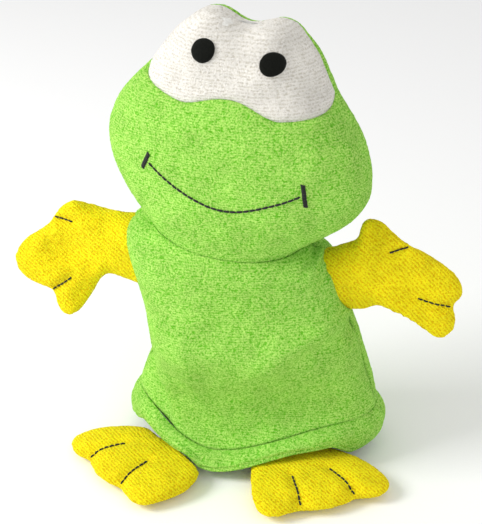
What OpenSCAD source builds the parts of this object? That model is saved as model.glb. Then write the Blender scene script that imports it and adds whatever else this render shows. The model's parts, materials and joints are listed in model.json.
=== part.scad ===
// Frog hand puppet: a terry glove with a stuffed head, two glove arms and two padded feet.
// The puppet faces -Y and stands on z = 0. Left and right are the puppet's own, so left is +X.

/* [Cloth] */
// Thickness of the terry cloth
cloth = 1.8; // [1.2:0.1:2.2]
// Thickness of the finger pocket's lining
lining = 1; // [0.6:0.1:1.4]
// Thickness of the felt pupils
felt = 1.4; // [0.8:0.1:2]
// Radius of the stitching thread
thread_r = 0.45; // [0.3:0.05:0.6]

/* [Head] */
// Height of the head above the neck seam
head_h = 111; // [105:0.5:116]
// Half of the head's width at the cheeks
cheek = 68; // [64:0.5:70]
// Depth from the side seam to the front of the muzzle
muzzle = 38; // [34:0.5:42]
// Turn of the head to its right
head_yaw = 7; // [0:1:14]
// Lean of the head backwards
head_pitch = 9; // [0:1:12]
// How far the eye bulges stand out
eye_bulge = 5; // [2:0.5:7]
// Rise of the two humps above the dip between them
hump_rise = 7; // [3:0.5:9]
// Radius of a pupil
pupil_r = 5.8; // [4.5:0.1:7]

/* [Glove] */
// Half of the width at the chest
chest = 57; // [54:0.5:60]
// Half of the width at the hem
hem_half = 70; // [66:0.5:73]
// Drop of the left shoulder below level
shoulder_slope = 7; // [3:0.5:8]
// Half of the armhole's depth from front to back
armhole_depth = 12; // [10:0.5:13]

/* [Hands and feet] */
// Length of the arms and hands, as a share of their drawn outlines
hand_scale = 1; // [0.9:0.02:1.06]
// Length of the feet, as a share of their drawn outlines
foot_scale = 1; // [0.9:0.02:1.06]
// Turn of the left foot away from straight ahead
splay_left = 42; // [36:1:50]
// Turn of the right foot away from straight ahead
splay_right = 53; // [44:1:58]
// Height of a foot at its instep
foot_h = 11; // [9.5:0.5:12.5]

/* [Finger pocket] */
// Inner radius of the index finger's pocket
pocket_r = 9.5; // [8:0.25:10]
// Depth of the pocket from its mouth to its blind end
pocket_depth = 46; // [40:1:50]

/* [Hidden] */
$fn = 48;
sides = ["left", "right"];
fresh_green = "#86cf4f";
sunny_yellow = "#f5cf12";
off_white = "#e9e7e1";
jet = "#191919";
filling = "#f4f1e6";
air = 0.3; // gap between neighbouring soft pieces
box_shift = [6.8, 20.2, 0]; // brings the middle of the puppet's box over the origin
back_n = 2.5; // how square the back of the glove is, 2 being an ellipse
head_n = 2.25; // the same for the head

// Rows of the glove, from the hem to the neck seam:
// height, half width, front depth, back depth, sideways shift, dip at the middle of the front,
// squareness of the front, sideways shift of its foremost line
glove_rows = [
    [0, hem_half - 7, 44, 33, 5, 0, 1.7, -10],
    [7, hem_half - 1, 48, 36, 5, 0, 1.7, -12],
    [14, hem_half, 48.5, 37, 5.5, 0, 1.7, -13],
    [19, hem_half - 1, 46, 36.5, 6, 0, 1.75, -13],
    [25, hem_half - 3.5, 41.5, 35, 6, 0, 1.8, -14],
    [32, hem_half - 4, 39, 34.5, 6, 0, 1.85, -16],
    [43, hem_half - 7, 38.5, 34, 6.5, 0, 1.9, -18],
    [56, chest + 2, 42, 33.5, 6.5, 0, 1.95, -18],
    [72, chest + 0.5, 42.5, 33, 3, 0, 2.1, -16],
    [90, chest, 40, 31, -2, 0, 2.25, -12],
    [106, chest, 37, 29.5, -5.5, 0, 2.35, -7],
    [118, chest - 2, 34, 28, -7.5, 2, 2.4, -3],
    [124.5, chest - 9, 32, 27, -8.5, 4, 2.3, 0],
    [127.5, chest - 17, 31, 26, -9, 5, 2.25, 0]
];
hem_top = 4; // where the hem band ends, counted in rows
arm_low = [8.6, 9]; // rows between which the right and the left armhole lie
arm_high = [11.4, 11.8];
arm_row = 10;
neck_row = 13;

// Rows of the head, from the neck seam to the ridge: height, half width, front depth, back depth, dip
head_rows = [
    [0, chest - 17, 31, 26, 5],
    [5, cheek - 20.5, 32, 27, 3.5],
    [16, cheek - 10, 35.5, 30, 1],
    [27, cheek - 3, muzzle - 1, 33, 0],
    [41, cheek, muzzle, 34, 0],
    [55, cheek - 3.5, muzzle - 1, 33.5, 0],
    [65, cheek - 8.5, muzzle - 3, 32, 0],
    [75, cheek - 16, muzzle - 6, 29.5, 0],
    [87, cheek - 23, muzzle - 10, 25.5, 0],
    [95, cheek - 28, muzzle - 15, 20, 0],
    [head_h - 12, cheek - 35, muzzle - 22, 13, 0],
    [head_h - 9, cheek - 43, 1.2, 1.2, 0]
];
jaw_row = 1.9; // the neck tube ends and the stuffed head begins here, counted in rows
ridge_row = 11;
neck_centre = [glove_rows[neck_row][4], 0, glove_rows[neck_row][0]];
eye_x = 18; // the eye bulges: offset from the middle, height and spread
eye_z = 88;
eye_spread = 15;
hump_x = 17;
hump_spread = 13;
pupil_x = 17;
pupil_z = 90;
eye_shift = 1.8; // the eyes and the mouth sit a little towards the head's left
mouth_shift = 4.6;
mouth_half = 39.7; // the smile: half width, height of its middle and rise of its corners
mouth_z = 17.7;
mouth_rise = 14;
tack_half = 5;
pocket_mouth = neck_centre.z + 17;

// Outlines of the hands in the plane of the palm, from the lower wrist round the three fingers to
// the upper wrist: distance outwards from the middle of the armhole, and height
right_hand = [[12, -20], [18.5, -26], [23, -34.5], [28, -41.5], [34, -44.5], [39.5, -42], [43, -34.5], [47, -31],
    [54, -28.5], [62, -23.5], [65, -16], [62, -7], [55.5, -1], [47, 6], [42.5, 11.5], [37, 18], [30, 21.5], [22, 18], [12, 16]];
left_hand = [[12, -13.5], [19, -9.2], [27, -9], [37, -14], [45, -21], [52, -24.8], [58, -20.5], [59.8, -14],
    [58.6, -6.5], [62.3, 2.5], [58, 11.5], [48, 19.5], [37, 26], [26, 33], [18, 38], [11, 38.6], [7, 34], [5, 26.5]];
right_notches = [14, 6.6]; // places along the outlines between the upper and the lower two fingers
left_notches = [12.3, 8];
wrist_depth = 9;
palm_depth = 7.5;
finger_curl = 3;

// Outline of a foot, from its inner ankle round the three toes to the outer ankle:
// distance out along the foot, and sideways towards the outside
foot_edge = [[-8, -25], [3, -32.5], [13, -38.5], [22, -42.5], [29, -41.5], [33, -36], [34.5, -28], [35.5, -22.5],
    [38.5, -17], [41.5, -8], [42, 1], [42, 8], [44.5, 14], [45.5, 21], [43, 28], [37, 31], [27, 30], [15, 26], [4, 20]];
toe_notches = [11, 7]; // places along the outline between the outer and the inner two toes
ankle_left = [34, -29];
ankle_right = [39, -33];
foot_seam_z = 4.5;

// ---------- small helpers ----------
function mix(a, b, t) = a + (b - a) * t;
function smooth(t) = t <= 0 ? 0 : t >= 1 ? 1 : t * t * (3 - 2 * t);
function unit(v) = v / max(norm(v), 1e-9);
function signed_pow(v, p) = sign(v) * pow(abs(v), p);
function bell(d) = exp(-d * d);
function rx(v, a) = [v.x, v.y * cos(a) - v.z * sin(a), v.y * sin(a) + v.z * cos(a)];
function ry(v, a) = [v.x * cos(a) + v.z * sin(a), v.y, v.z * cos(a) - v.x * sin(a)];
function rz(v, a) = [v.x * cos(a) - v.y * sin(a), v.x * sin(a) + v.y * cos(a), v.z];
function hand_side(side) = side == "left" ? 1 : -1;

// A smooth curve through the rows of a table, at row number t
function through(rows, t) =
    let (last = len(rows) - 1, i = min(last - 1, max(0, floor(t))), f = t - i,
         a = rows[max(0, i - 1)], b = rows[i], c = rows[i + 1], d = rows[min(last, i + 2)])
    b + 0.5 * f * (c - a + f * (2 * a - 5 * b + 4 * c - d + f * (3 * (b - c) + d - a)));

// A grid of points f(u, w), with u from -1 to 1 across and w between two values along
function grid(f, across, along, from = 0, to = 1) =
    [for (j = [0 : along]) [for (i = [0 : across]) f(2 * i / across - 1, mix(from, to, j / along))]];

// The grid again, moved along its own normals by d
function offset_grid(g, d) =
    let (m = len(g) - 1, n = len(g[0]) - 1)
    [for (j = [0 : m]) [for (i = [0 : n])
        g[j][i] + d * unit(cross(g[j][min(i + 1, n)] - g[j][max(i - 1, 0)],
                                 g[min(j + 1, m)][i] - g[max(j - 1, 0)][i]))]];

// Keeps a grid on its own side of the seam plane y = 0: front is -1, back is 1
function keep_side(g, side) =
    [for (row = g) [for (p = row) [p.x, side * max(side * p.y, air / 2), p.z]]];
function moved(g, f) = [for (row = g) [for (p = row) f(p)]];

// Closed solid between two grids of the same size; b lies on the side that the normals of a leave
module slab(a, b) {
    m = len(a);
    n = len(a[0]);
    points = [for (g = [a, b]) for (row = g) for (p = row) p];
    quads = [for (j = [0 : m - 2]) for (i = [0 : n - 2]) [j * n + i, j * n + i + 1, (j + 1) * n + i + 1, (j + 1) * n + i]];
    rim = concat([for (i = [0 : n - 1]) i], [for (j = [1 : m - 1]) j * n + n - 1],
                 [for (i = [n - 2 : -1 : 0]) (m - 1) * n + i], [for (j = [m - 2 : -1 : 1]) j * n]);
    k = m * n;
    count = len(rim);
    faces = concat(
        [for (q = quads) for (t = [[q[0], q[2], q[1]], [q[0], q[3], q[2]]]) t],
        [for (q = quads) for (t = [[q[0], q[1], q[2]], [q[0], q[2], q[3]]]) [for (v = t) v + k]],
        [for (r = [0 : count - 1]) let (p = rim[r], q = rim[(r + 1) % count])
            for (t = [[p, q, q + k], [p, q + k, p + k]]) t]);
    polyhedron(points, faces, convexity = 6);
}

// Thread or cord of radius r along a path; up is any direction across it
module strand(path, r, up = [0, -1, 0], around = 6) {
    last = len(path) - 1;
    points = [for (i = [0 : last])
        let (along = unit(path[min(i + 1, last)] - path[max(i - 1, 0)]),
             side = unit(cross(along, up)), top = cross(side, along))
        for (k = [0 : around - 1]) path[i] + r * (cos(360 * k / around) * side + sin(360 * k / around) * top)];
    faces = concat([[for (k = [around - 1 : -1 : 0]) k]], [[for (k = [0 : around - 1]) last * around + k]],
        [for (i = [0 : last - 1]) for (k = [0 : around - 1])
            let (a = i * around + k, b = i * around + (k + 1) % around)
            for (t = [[a, b, b + around], [a, b + around, a + around]]) t]);
    polyhedron(points, faces, convexity = 6);
}

// Thread or tape along a path that closes on itself
module loop(path, r, around = 6) {
    n = len(path);
    points = [for (i = [0 : n - 1])
        let (along = unit(path[(i + 1) % n] - path[(i + n - 1) % n]),
             side = unit(cross(along, [0, 0, 1])), top = cross(side, along))
        for (k = [0 : around - 1]) path[i] + r * (cos(360 * k / around) * side + sin(360 * k / around) * top)];
    faces = [for (i = [0 : n - 1]) for (k = [0 : around - 1])
        let (j = (i + 1) % n, a = i * around + k, b = i * around + (k + 1) % around,
             c = j * around + (k + 1) % around, d = j * around + k)
        for (t = [[a, b, c], [a, c, d]]) t];
    polyhedron(points, faces, convexity = 6);
}

// ---------- glove ----------
// Height of the hem's lower edge: it hangs lowest at the middle of the front, rises over the feet
// towards the sides, and touches the table at the back
function hem_edge(x, side) =
    side > 0 ? 18 * smooth((abs(x - 5) - 30) / 35)
    : mix(max(4 + 14 * smooth(abs(x + 9) / 45), (foot_h + 1) * smooth((-x - 8) / 16)), 9,
          smooth((abs(x - 5) - 57) / 11));

// Height of the crease above the hem
function hem_crease(x, side) =
    side > 0 ? 25 + 6 * smooth((abs(x - 5) - 30) / 30) : 13 + 18 * smooth(abs(x + 9) / (x < -9 ? 45 : 65));

// Point of the glove: u runs from one side seam (-1) to the other (1), w counts rows, side is -1 in front
function glove_point(u, w, side) =
    let (r = through(glove_rows, w), phi = 90 * u, n = side < 0 ? r[6] : back_n,
         x = r[1] * signed_pow(sin(phi), 2 / n),
         y = side * (side < 0 ? r[2] : r[3]) * signed_pow(cos(phi), 2 / n),
         px = x + r[4] + (side < 0 ? r[7] * pow(cos(phi), 2) : 0),
         z = w < hem_top ? mix(hem_edge(px, side), hem_crease(px, side), r[0] / 25)
             : r[0] - r[5] * (side < 0 ? 1 : 0.3) * pow(cos(phi), 2)
               + (hem_crease(px, side) - 25) * (1 - smooth((w - hem_top) / 3.5)))
    [px, y, z - x * tan(shoulder_slope) * smooth((r[0] - 55) / 50)];

// How far the armhole on the side that u points to eats into a panel at row w, as the u where the panel ends
function armhole_edge(u, w, side) =
    let (a = u > 0 ? 1 : 0, r = through(glove_rows, w),
         t = (w - (arm_low[a] + arm_high[a]) / 2) / ((arm_high[a] - arm_low[a]) / 2),
         depth = abs(t) < 1 ? armhole_depth * sqrt(1 - t * t) : 0)
    acos(pow(depth / (side < 0 ? r[2] : r[3]), (side < 0 ? r[6] : back_n) / 2)) / 90;

function panel_point(u, w, side) = glove_point(u * armhole_edge(u, w, side), w, side);

module glove_panel(side, shape, from, to, across, along) {
    outer = keep_side(grid(function(u, w) shape(side < 0 ? u : -u, w, side), across, along, from, to), side);
    inner = keep_side(offset_grid(outer, -cloth), side);
    slab(outer, inner);
}

module body_front_panel() {
    color(fresh_green)
        glove_panel(-1, function(u, w, s) panel_point(u, w, s), hem_top + 0.05, neck_row, 20, 20);
}

module body_back_panel() {
    color(fresh_green)
        glove_panel(1, function(u, w, s) panel_point(u, w, s), hem_top + 0.05, neck_row, 20, 20);
}

module hem_front() {
    color(fresh_green)
        glove_panel(-1, function(u, w, s) glove_point(u, w, s), 0, hem_top, 32, 5);
}

module hem_back() {
    color(fresh_green)
        glove_panel(1, function(u, w, s) glove_point(u, w, s), 0, hem_top, 20, 5);
}

// Row of topstitching that holds the turned-up hem
module hem_stitching() {
    turns = 72;
    color(fresh_green)
        loop([for (i = [0 : turns - 1])
            let (a = 360 * i / turns, side = sin(a) >= 0 ? -1 : 1, u = (side < 0 ? a - 90 : 270 - a) / 90,
                 w = hem_top - 0.35, e = 0.02, p = glove_point(u, w, side),
                 out = -side * unit(cross(glove_point(u + e, w, side) - glove_point(u - e, w, side),
                                          glove_point(u, w + e, side) - glove_point(u, w - e, side))))
            p + out * (thread_r + 0.7)], thread_r);
}

// Seam allowances of the front and back panels, sewn together inside the glove
module side_seam(side) {
    x = hand_side(side);
    allowance = 5;
    rows = 8;
    outer = [for (j = [0 : rows])
        let (p = glove_point(x, mix(hem_top + 0.2, arm_low[x > 0 ? 1 : 0] - 0.2, j / rows), -1) - [x * (cloth + 1.2), 0, 0])
        [for (d = [0, allowance]) p - [x * d, 1.2, 0]]];
    inner = [for (row = outer) [for (p = row) p + [0, 2.4, 0]]];
    color(fresh_green) {
        if (x > 0) slab(inner, outer);
        if (x < 0) slab(outer, inner);
    }
}

// ---------- head ----------
// Bulge of the two eyes, pushed out of the upper front of the head
function eye_lift(p) =
    eye_bulge * (bell(norm([p.x - eye_x, p.z - eye_z]) / eye_spread) + bell(norm([p.x + eye_x, p.z - eye_z]) / eye_spread));

// Point of the head in its own upright frame, with its origin at the middle of the neck seam
function head_shape(u, w, side) =
    let (r = through(head_rows, w), phi = 90 * u,
         x = r[1] * signed_pow(sin(phi), 2 / head_n),
         y = side * (side < 0 ? r[2] : r[3]) * signed_pow(cos(phi), 2 / head_n),
         z = r[0] - r[4] * (side < 0 ? 1 : 0.3) * cos(phi) * cos(phi),
         lift = eye_lift([x, y, z]), face = side < 0 ? smooth((ridge_row - w) / 2.5) : 0,
         rise = hump_rise * (bell((x - hump_x) / hump_spread) + bell((x + hump_x) / hump_spread)))
    [x, y - lift * face, z + rise * smooth((w - 7) / 3.5)];

// Puts a point of the upright head in place: it turns and leans as it rises from the neck seam
function head_place(p) =
    let (k = smooth(p.z / 24))
    neck_centre + ry(rx(rz(p - [2.5 * k, 0, 0], -head_yaw * k), -head_pitch * k), shoulder_slope)
    + [0, 0, -neck_centre.x * tan(shoulder_slope)];

// Row on which the face ends and the white eye panel begins: two lobes with a peak between them
function brow_row(u) =
    let (lobe = 0.25, a = min(1, abs(u - 0.035)))
    a < lobe ? 5.95 + 0.6 * (1 + cos(180 * a / lobe)) / 2 : 5.95 + 1.35 * pow((a - lobe) / (1 - lobe), 1.15);

module head_piece(side, shape, across, along, trim = 0) {
    outer = keep_side(grid(function(u, w) shape(side < 0 ? u : -u, w), across, along), side);
    inner = keep_side(offset_grid(outer, -cloth), side);
    slab(moved(outer, function(p) head_place(p)), moved(inner, function(p) head_place(p)));
}

module face_panel() {
    color(fresh_green)
        head_piece(-1, function(u, w) head_shape(u, mix(jaw_row, brow_row(u) - 0.03, w), -1), 24, 10);
}

module eye_panel() {
    color(off_white)
        head_piece(-1, function(u, w) head_shape(u, mix(brow_row(u), ridge_row, w), -1), 24, 9);
}

module head_back_panel() {
    color(fresh_green)
        head_piece(1, function(u, w) head_shape(u, mix(jaw_row, ridge_row, w), 1), 20, 16);
}

// The lowest stretch of the face and back panels, which bends and folds between body and head
module neck_tube() {
    color(fresh_green)
        for (side = [-1, 1])
            head_piece(side, function(u, w) head_shape(u, mix(0.12, jaw_row - 0.06, w), side), 20, 4);
}

// Seam that joins the head to the glove
module neck_seam() {
    turns = 48;
    color(fresh_green)
        loop([for (i = [0 : turns - 1])
            let (a = 360 * i / turns, side = sin(a) >= 0 ? -1 : 1, u = (side < 0 ? a - 90 : 270 - a) / 90,
                 p = head_place(head_shape(max(-1, min(1, u)), 0, side)))
            [mix(neck_centre.x, p.x, 0.9), p.y * 0.87, p.z]], 0.9);
}

// Fibre filling, hollow where the finger pocket goes up into it
module head_stuffing() {
    front = offset_grid(keep_side(grid(function(u, w) head_shape(u, w, -1), 20, 14, jaw_row + 0.3, ridge_row - 0.9), -1), -cloth - 0.7);
    back = offset_grid(keep_side(grid(function(u, w) head_shape(-u, w, 1), 20, 14, jaw_row + 0.3, ridge_row - 0.9), 1), -cloth - 0.7);
    back_matched = [for (row = back) [for (i = [len(row) - 1 : -1 : 0]) row[i]]];
    color(filling)
        difference() {
            slab(moved(front, function(p) head_place(p)), moved(back_matched, function(p) head_place(p)));
            translate([neck_centre.x, neck_centre.y, pocket_mouth - 20])
                cylinder(r = pocket_r + lining + air, h = pocket_depth + lining + air + 20);
        }
}

// Lining sewn into the head for the index finger
module finger_pocket() {
    color(off_white)
        translate([neck_centre.x, neck_centre.y, pocket_mouth])
            difference() {
                cylinder(r = pocket_r + lining, h = pocket_depth + lining);
                translate([0, 0, -1])
                    cylinder(r = pocket_r, h = pocket_depth + 1);
            }
}

// Point of the front of the head at a given x and height, standing off the cloth by d
function on_face(x, z, d) =
    let (w = face_row(z, x), r = through(head_rows, w),
         u = asin(signed_pow(max(-1, min(1, x / r[1])), head_n / 2)) / 90,
         p = head_shape(u, w, -1), e = 0.02,
         n = unit(cross(head_shape(u + e, w, -1) - head_shape(u - e, w, -1),
                        head_shape(u, w + e, -1) - head_shape(u, w - e, -1))))
    p + d * n;

// Row of the head that lies at height z, found by halving
function face_row(z, x, low = 2, high = 10.9, steps = 12) =
    steps == 0 ? (low + high) / 2
    : let (w = (low + high) / 2, r = through(head_rows, w),
           u = asin(signed_pow(max(-1, min(1, x / r[1])), head_n / 2)) / 90)
      head_shape(u, w, -1).z < z ? face_row(z, x, w, high, steps - 1) : face_row(z, x, low, w, steps - 1);

module pupil(side) {
    rings = 3;
    spokes = 20;
    x0 = eye_shift + hand_side(side) * pupil_x;
    outer = [for (j = [0 : rings]) [for (i = [0 : spokes])
        let (a = 360 * i / spokes, r = pupil_r * (j + 0.02) / rings)
        on_face(x0 + r * cos(a), pupil_z + r * sin(a) * 0.95, felt + 0.5)]];
    inner = [for (j = [0 : rings]) [for (i = [0 : spokes])
        let (a = 360 * i / spokes, r = pupil_r * (j + 0.02) / rings)
        on_face(x0 + r * cos(a), pupil_z + r * sin(a) * 0.95, 0.5)]];
    color(jet)
        disc(moved(outer, function(p) head_place(p)), moved(inner, function(p) head_place(p)));
}

// Round plate between two polar grids whose first ring is a point and whose last spoke meets the first
module disc(a, b) {
    rings = len(a) - 1;
    n = len(a[0]) - 1;
    flat = function(g) concat([g[0][0]], [for (j = [1 : rings]) for (i = [0 : n - 1]) g[j][i]]);
    points = concat(flat(a), flat(b));
    k = 1 + rings * n;
    at = function(j, i) j == 0 ? 0 : 1 + (j - 1) * n + i % n;
    top = concat([for (i = [0 : n - 1]) [0, at(1, i + 1), at(1, i)]],
        [for (j = [1 : rings - 1]) for (i = [0 : n - 1])
            for (t = [[at(j, i), at(j, i + 1), at(j + 1, i + 1)], [at(j, i), at(j + 1, i + 1), at(j + 1, i)]]) t]);
    under = [for (t = top) [t[2] + k, t[1] + k, t[0] + k]];
    wall = [for (i = [0 : n - 1]) for (t = [[at(rings, i), at(rings, i + 1), at(rings, i + 1) + k],
        [at(rings, i), at(rings, i + 1) + k, at(rings, i) + k]]) t];
    polyhedron(points, concat(top, under, wall), convexity = 4);
}

function smile_z(x) = mouth_z + mouth_rise * pow(abs(x) / mouth_half, 1.9);

module mouth_thread() {
    steps = 30;
    color(jet)
        strand([for (i = [0 : steps])
            let (x = mix(-mouth_half + 1, mouth_half - 1, i / steps))
            head_place(on_face(x + mouth_shift, smile_z(x), thread_r + 0.35))], thread_r);
}

// Bar tack across each corner of the mouth
module mouth_corner(side) {
    x = hand_side(side);
    steps = 5;
    color(jet)
        strand([for (i = [0 : steps])
            let (t = mix(-1, 1, i / steps))
            head_place(on_face(mouth_shift + x * (mouth_half + 0.8 - t * 1.4), smile_z(mouth_half) + t * tack_half,
                thread_r + 0.5))],
            thread_r * 1.6);
}

// ---------- arms and hands ----------
function arm_middle(side) =
    let (p = glove_point(hand_side(side), arm_row, -1))
    [p.x, 0, p.z];
function hand_outline(side) = hand_scale * (side == "left" ? left_hand : right_hand);
function notches(side) = side == "left" ? left_notches : right_notches;

// Point of a flat fan: u from the first point of its outline (-1) to the last (1), w from root to outline
function fan_point(edge, u, w) =
    let (last = len(edge) - 1, tip = through(edge, (u + 1) / 2 * last),
         root = mix(edge[0], edge[last], (u + 1) / 2))
    mix(root, tip, w);
function notch_u(edge, at) = 2 * at / (len(edge) - 1) - 1;

// Half thickness of a hand, round at its rim and thinner at the fingertips
function hand_depth(u, w) =
    mix(wrist_depth, palm_depth, smooth(w * 1.3)) * pow(max(0, 1 - pow(abs(u), 3)), 1 / 2.6)
    * sqrt(max(0, 1 - pow(w, 5)));

// Places a point of the hand (reach, height, towards the back) on its side of the puppet
function hand_place(side, p) =
    let (x = hand_side(side), curl = finger_curl * pow(max(0, p.x - 12) / 50, 2),
         cup = 1.5 * pow(p.y / 34, 2) * smooth((p.x - 12) / 20))
    arm_middle(side) + [x * p.x, p.z - curl - cup, p.y];

module hand_panel(side, face) {
    edge = hand_outline(side);
    flip = hand_side(side) * face;
    shape = function(u, w, grow)
        let (p = fan_point(edge, u, w), t = max(hand_depth(u, w) + grow, air / 2))
        [p.x, p.y, face * t];
    outer = grid(function(u, w) shape(flip * -u, w, 0), 26, 7, 0.04);
    inner = grid(function(u, w) shape(flip * -u * 0.94, w * 0.95, -cloth), 26, 7, 0.04);
    color(sunny_yellow)
        slab(moved(outer, function(p) hand_place(side, p)), moved(inner, function(p) hand_place(side, p)));
}

// The first stretch of the arm, which bends at the armhole
module sleeve(side) {
    x = hand_side(side);
    edge = hand_outline(side);
    color(sunny_yellow)
        for (face = [-1, 1]) {
            shape = function(u, w)
                let (a = x > 0 ? 1 : 0, row = mix(arm_low[a], arm_high[a], (u + 1) / 2),
                     root = glove_point(x * armhole_edge(x, row, face), row, face) + [x * 0.5, 0, 0],
                     flat = mix(edge[0], edge[len(edge) - 1], (u + 1) / 2),
                     wrist = hand_place(side, [flat.x - 0.9, flat.y, face * max(air / 2, hand_depth(u, 0))]),
                     p = mix(root, wrist, w))
                [p.x, face * max(air / 2, face * p.y), p.z];
            outer = grid(function(u, w) shape(-u * x * face, w), 12, 3);
            slab(outer, keep_side(offset_grid(outer, -cloth), face));
        }
}

// Black stitched line between two fingers, on the face of the hand that shows
module finger_stitch(side, which) {
    edge = hand_outline(side);
    u = notch_u(edge, notches(side)[which]);
    steps = 5;
    color(jet)
        strand([for (i = [0 : steps])
            let (w = mix(0.6, 0.92, i / steps), p = fan_point(edge, u, w))
            hand_place(side, [p.x, p.y, -hand_depth(u, w) - thread_r - 0.4])], thread_r);
}

// ---------- feet ----------
function splay(side) = side == "left" ? splay_left : splay_right;

// Places a point of the foot (reach, across towards the outside, up) on its side of the puppet
function foot_place(side, p) =
    let (x = hand_side(side), a = splay(side), ankle = side == "left" ? ankle_left : ankle_right)
    [x * (ankle.x + p.x * sin(a) + p.y * cos(a)), ankle.y - p.x * cos(a) + p.y * sin(a), p.z];

// Outline of the foot, drawn in by an inset all round
function foot_point(u, w, inset = 0) =
    let (p = fan_point(foot_scale * foot_edge, u, w), middle = [18, -1])
    middle + (p - middle) * (1 - inset / 30);

function instep(u, w) =
    foot_seam_z + (foot_h - foot_seam_z) * pow(max(0, 1 - pow(abs(u), 4)), 1 / 2.4)
    * sqrt(max(0, 1 - pow(w, 5)));

module foot_top(side) {
    flip = hand_side(side);
    outer = grid(function(u, w) let (p = foot_point(flip * u, w)) [p.x, p.y, instep(flip * u, w)], 32, 7);
    inner = grid(function(u, w) let (p = foot_point(flip * u, w, 2.2))
        [p.x, p.y, max(foot_seam_z - 1.4, instep(flip * u, w) - cloth)], 32, 7);
    color(sunny_yellow)
        slab(moved(outer, function(p) foot_place(side, p)), moved(inner, function(p) foot_place(side, p)));
}

// Flat underside of the foot, which lies on the table
module foot_sole(side) {
    n = 32;
    edge = [for (i = [0 : n]) foot_point(mix(-1, 1, i / n), 1, 1)];
    color(sunny_yellow)
        linear_extrude(height = cloth)
            polygon([for (p = edge) let (q = foot_place(side, [p.x, p.y, 0])) [q.x, q.y]]);
}

module foot_stuffing(side) {
    flip = hand_side(side);
    top = grid(function(u, w) let (p = foot_point(flip * u, w, 5))
        [p.x, p.y, max(cloth + 0.9, instep(flip * u, w) - cloth - 0.6)], 20, 5);
    under = [for (row = top) [for (p = row) [p.x, p.y, cloth + air]]];
    color(filling)
        slab(moved(top, function(p) foot_place(side, p)), moved(under, function(p) foot_place(side, p)));
}

module toe_stitch(side, which) {
    u = notch_u(foot_edge, toe_notches[which]);
    steps = 6;
    color(jet)
        strand([for (i = [0 : steps])
            let (w = mix(0.52, 0.96, i / steps), p = foot_point(u, w))
            foot_place(side, [p.x, p.y, instep(u, w) + thread_r + 0.3])], thread_r, [0, 0, 1]);
}

NODES = ["body_front_panel", "body_back_panel", "hem_front", "hem_back", "hem_stitching",
    "side_seam_left", "side_seam_right", "neck_seam", "neck_tube",
    "face_panel", "eye_panel", "head_back_panel", "head_stuffing", "finger_pocket",
    "pupil_left", "pupil_right", "mouth_thread", "mouth_corner_left", "mouth_corner_right",
    "sleeve_left", "sleeve_right", "hand_left_front", "hand_left_back", "hand_right_front", "hand_right_back",
    "finger_stitch_left_upper", "finger_stitch_left_lower", "finger_stitch_right_upper", "finger_stitch_right_lower",
    "foot_left_top", "foot_left_sole", "foot_left_stuffing", "toe_stitch_left_outer", "toe_stitch_left_inner",
    "foot_right_top", "foot_right_sole", "foot_right_stuffing", "toe_stitch_right_outer", "toe_stitch_right_inner"];
node = "all";

function shown(name) = node == "all" || node == name;

translate(box_shift) {
    if (shown("body_front_panel")) body_front_panel();
    if (shown("body_back_panel")) body_back_panel();
    if (shown("hem_front")) hem_front();
    if (shown("hem_back")) hem_back();
    if (shown("hem_stitching")) hem_stitching();
    if (shown("neck_seam")) neck_seam();
    if (shown("neck_tube")) neck_tube();
    if (shown("face_panel")) face_panel();
    if (shown("eye_panel")) eye_panel();
    if (shown("head_back_panel")) head_back_panel();
    if (shown("head_stuffing")) head_stuffing();
    if (shown("finger_pocket")) finger_pocket();
    if (shown("mouth_thread")) mouth_thread();
    for (side = sides) {
        if (shown(str("side_seam_", side))) side_seam(side);
        if (shown(str("pupil_", side))) pupil(side);
        if (shown(str("mouth_corner_", side))) mouth_corner(side);
        if (shown(str("sleeve_", side))) sleeve(side);
        if (shown(str("hand_", side, "_front"))) hand_panel(side, -1);
        if (shown(str("hand_", side, "_back"))) hand_panel(side, 1);
        if (shown(str("finger_stitch_", side, "_upper"))) finger_stitch(side, 0);
        if (shown(str("finger_stitch_", side, "_lower"))) finger_stitch(side, 1);
        if (shown(str("foot_", side, "_top"))) foot_top(side);
        if (shown(str("foot_", side, "_sole"))) foot_sole(side);
        if (shown(str("foot_", side, "_stuffing"))) foot_stuffing(side);
        if (shown(str("toe_stitch_", side, "_outer"))) toe_stitch(side, 0);
        if (shown(str("toe_stitch_", side, "_inner"))) toe_stitch(side, 1);
    }
}
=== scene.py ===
import json
import math
import bpy
import bmesh
import numpy as np
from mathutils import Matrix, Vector
from mathutils.bvhtree import BVHTree


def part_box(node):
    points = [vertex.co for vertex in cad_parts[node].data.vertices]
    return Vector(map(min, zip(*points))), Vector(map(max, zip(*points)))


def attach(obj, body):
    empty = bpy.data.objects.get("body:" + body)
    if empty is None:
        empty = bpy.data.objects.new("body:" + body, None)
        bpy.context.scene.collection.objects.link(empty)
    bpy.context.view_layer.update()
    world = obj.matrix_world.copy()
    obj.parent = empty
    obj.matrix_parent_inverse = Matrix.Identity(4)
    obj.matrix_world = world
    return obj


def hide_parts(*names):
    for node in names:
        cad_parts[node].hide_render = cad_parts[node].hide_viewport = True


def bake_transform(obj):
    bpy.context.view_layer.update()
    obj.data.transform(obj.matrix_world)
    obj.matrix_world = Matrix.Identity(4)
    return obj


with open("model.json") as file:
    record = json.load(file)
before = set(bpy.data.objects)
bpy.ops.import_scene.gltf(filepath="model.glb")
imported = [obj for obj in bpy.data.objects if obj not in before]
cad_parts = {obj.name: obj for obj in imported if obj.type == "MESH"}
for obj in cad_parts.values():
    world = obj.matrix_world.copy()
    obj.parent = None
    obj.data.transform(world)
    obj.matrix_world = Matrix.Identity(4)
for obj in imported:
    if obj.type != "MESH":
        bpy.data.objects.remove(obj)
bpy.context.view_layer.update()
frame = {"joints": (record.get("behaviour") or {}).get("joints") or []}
scene = bpy.context.scene
jointAt = {joint["name"]: np.array(joint["pos_m"]) * 1000 for joint in frame["joints"]}
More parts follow.
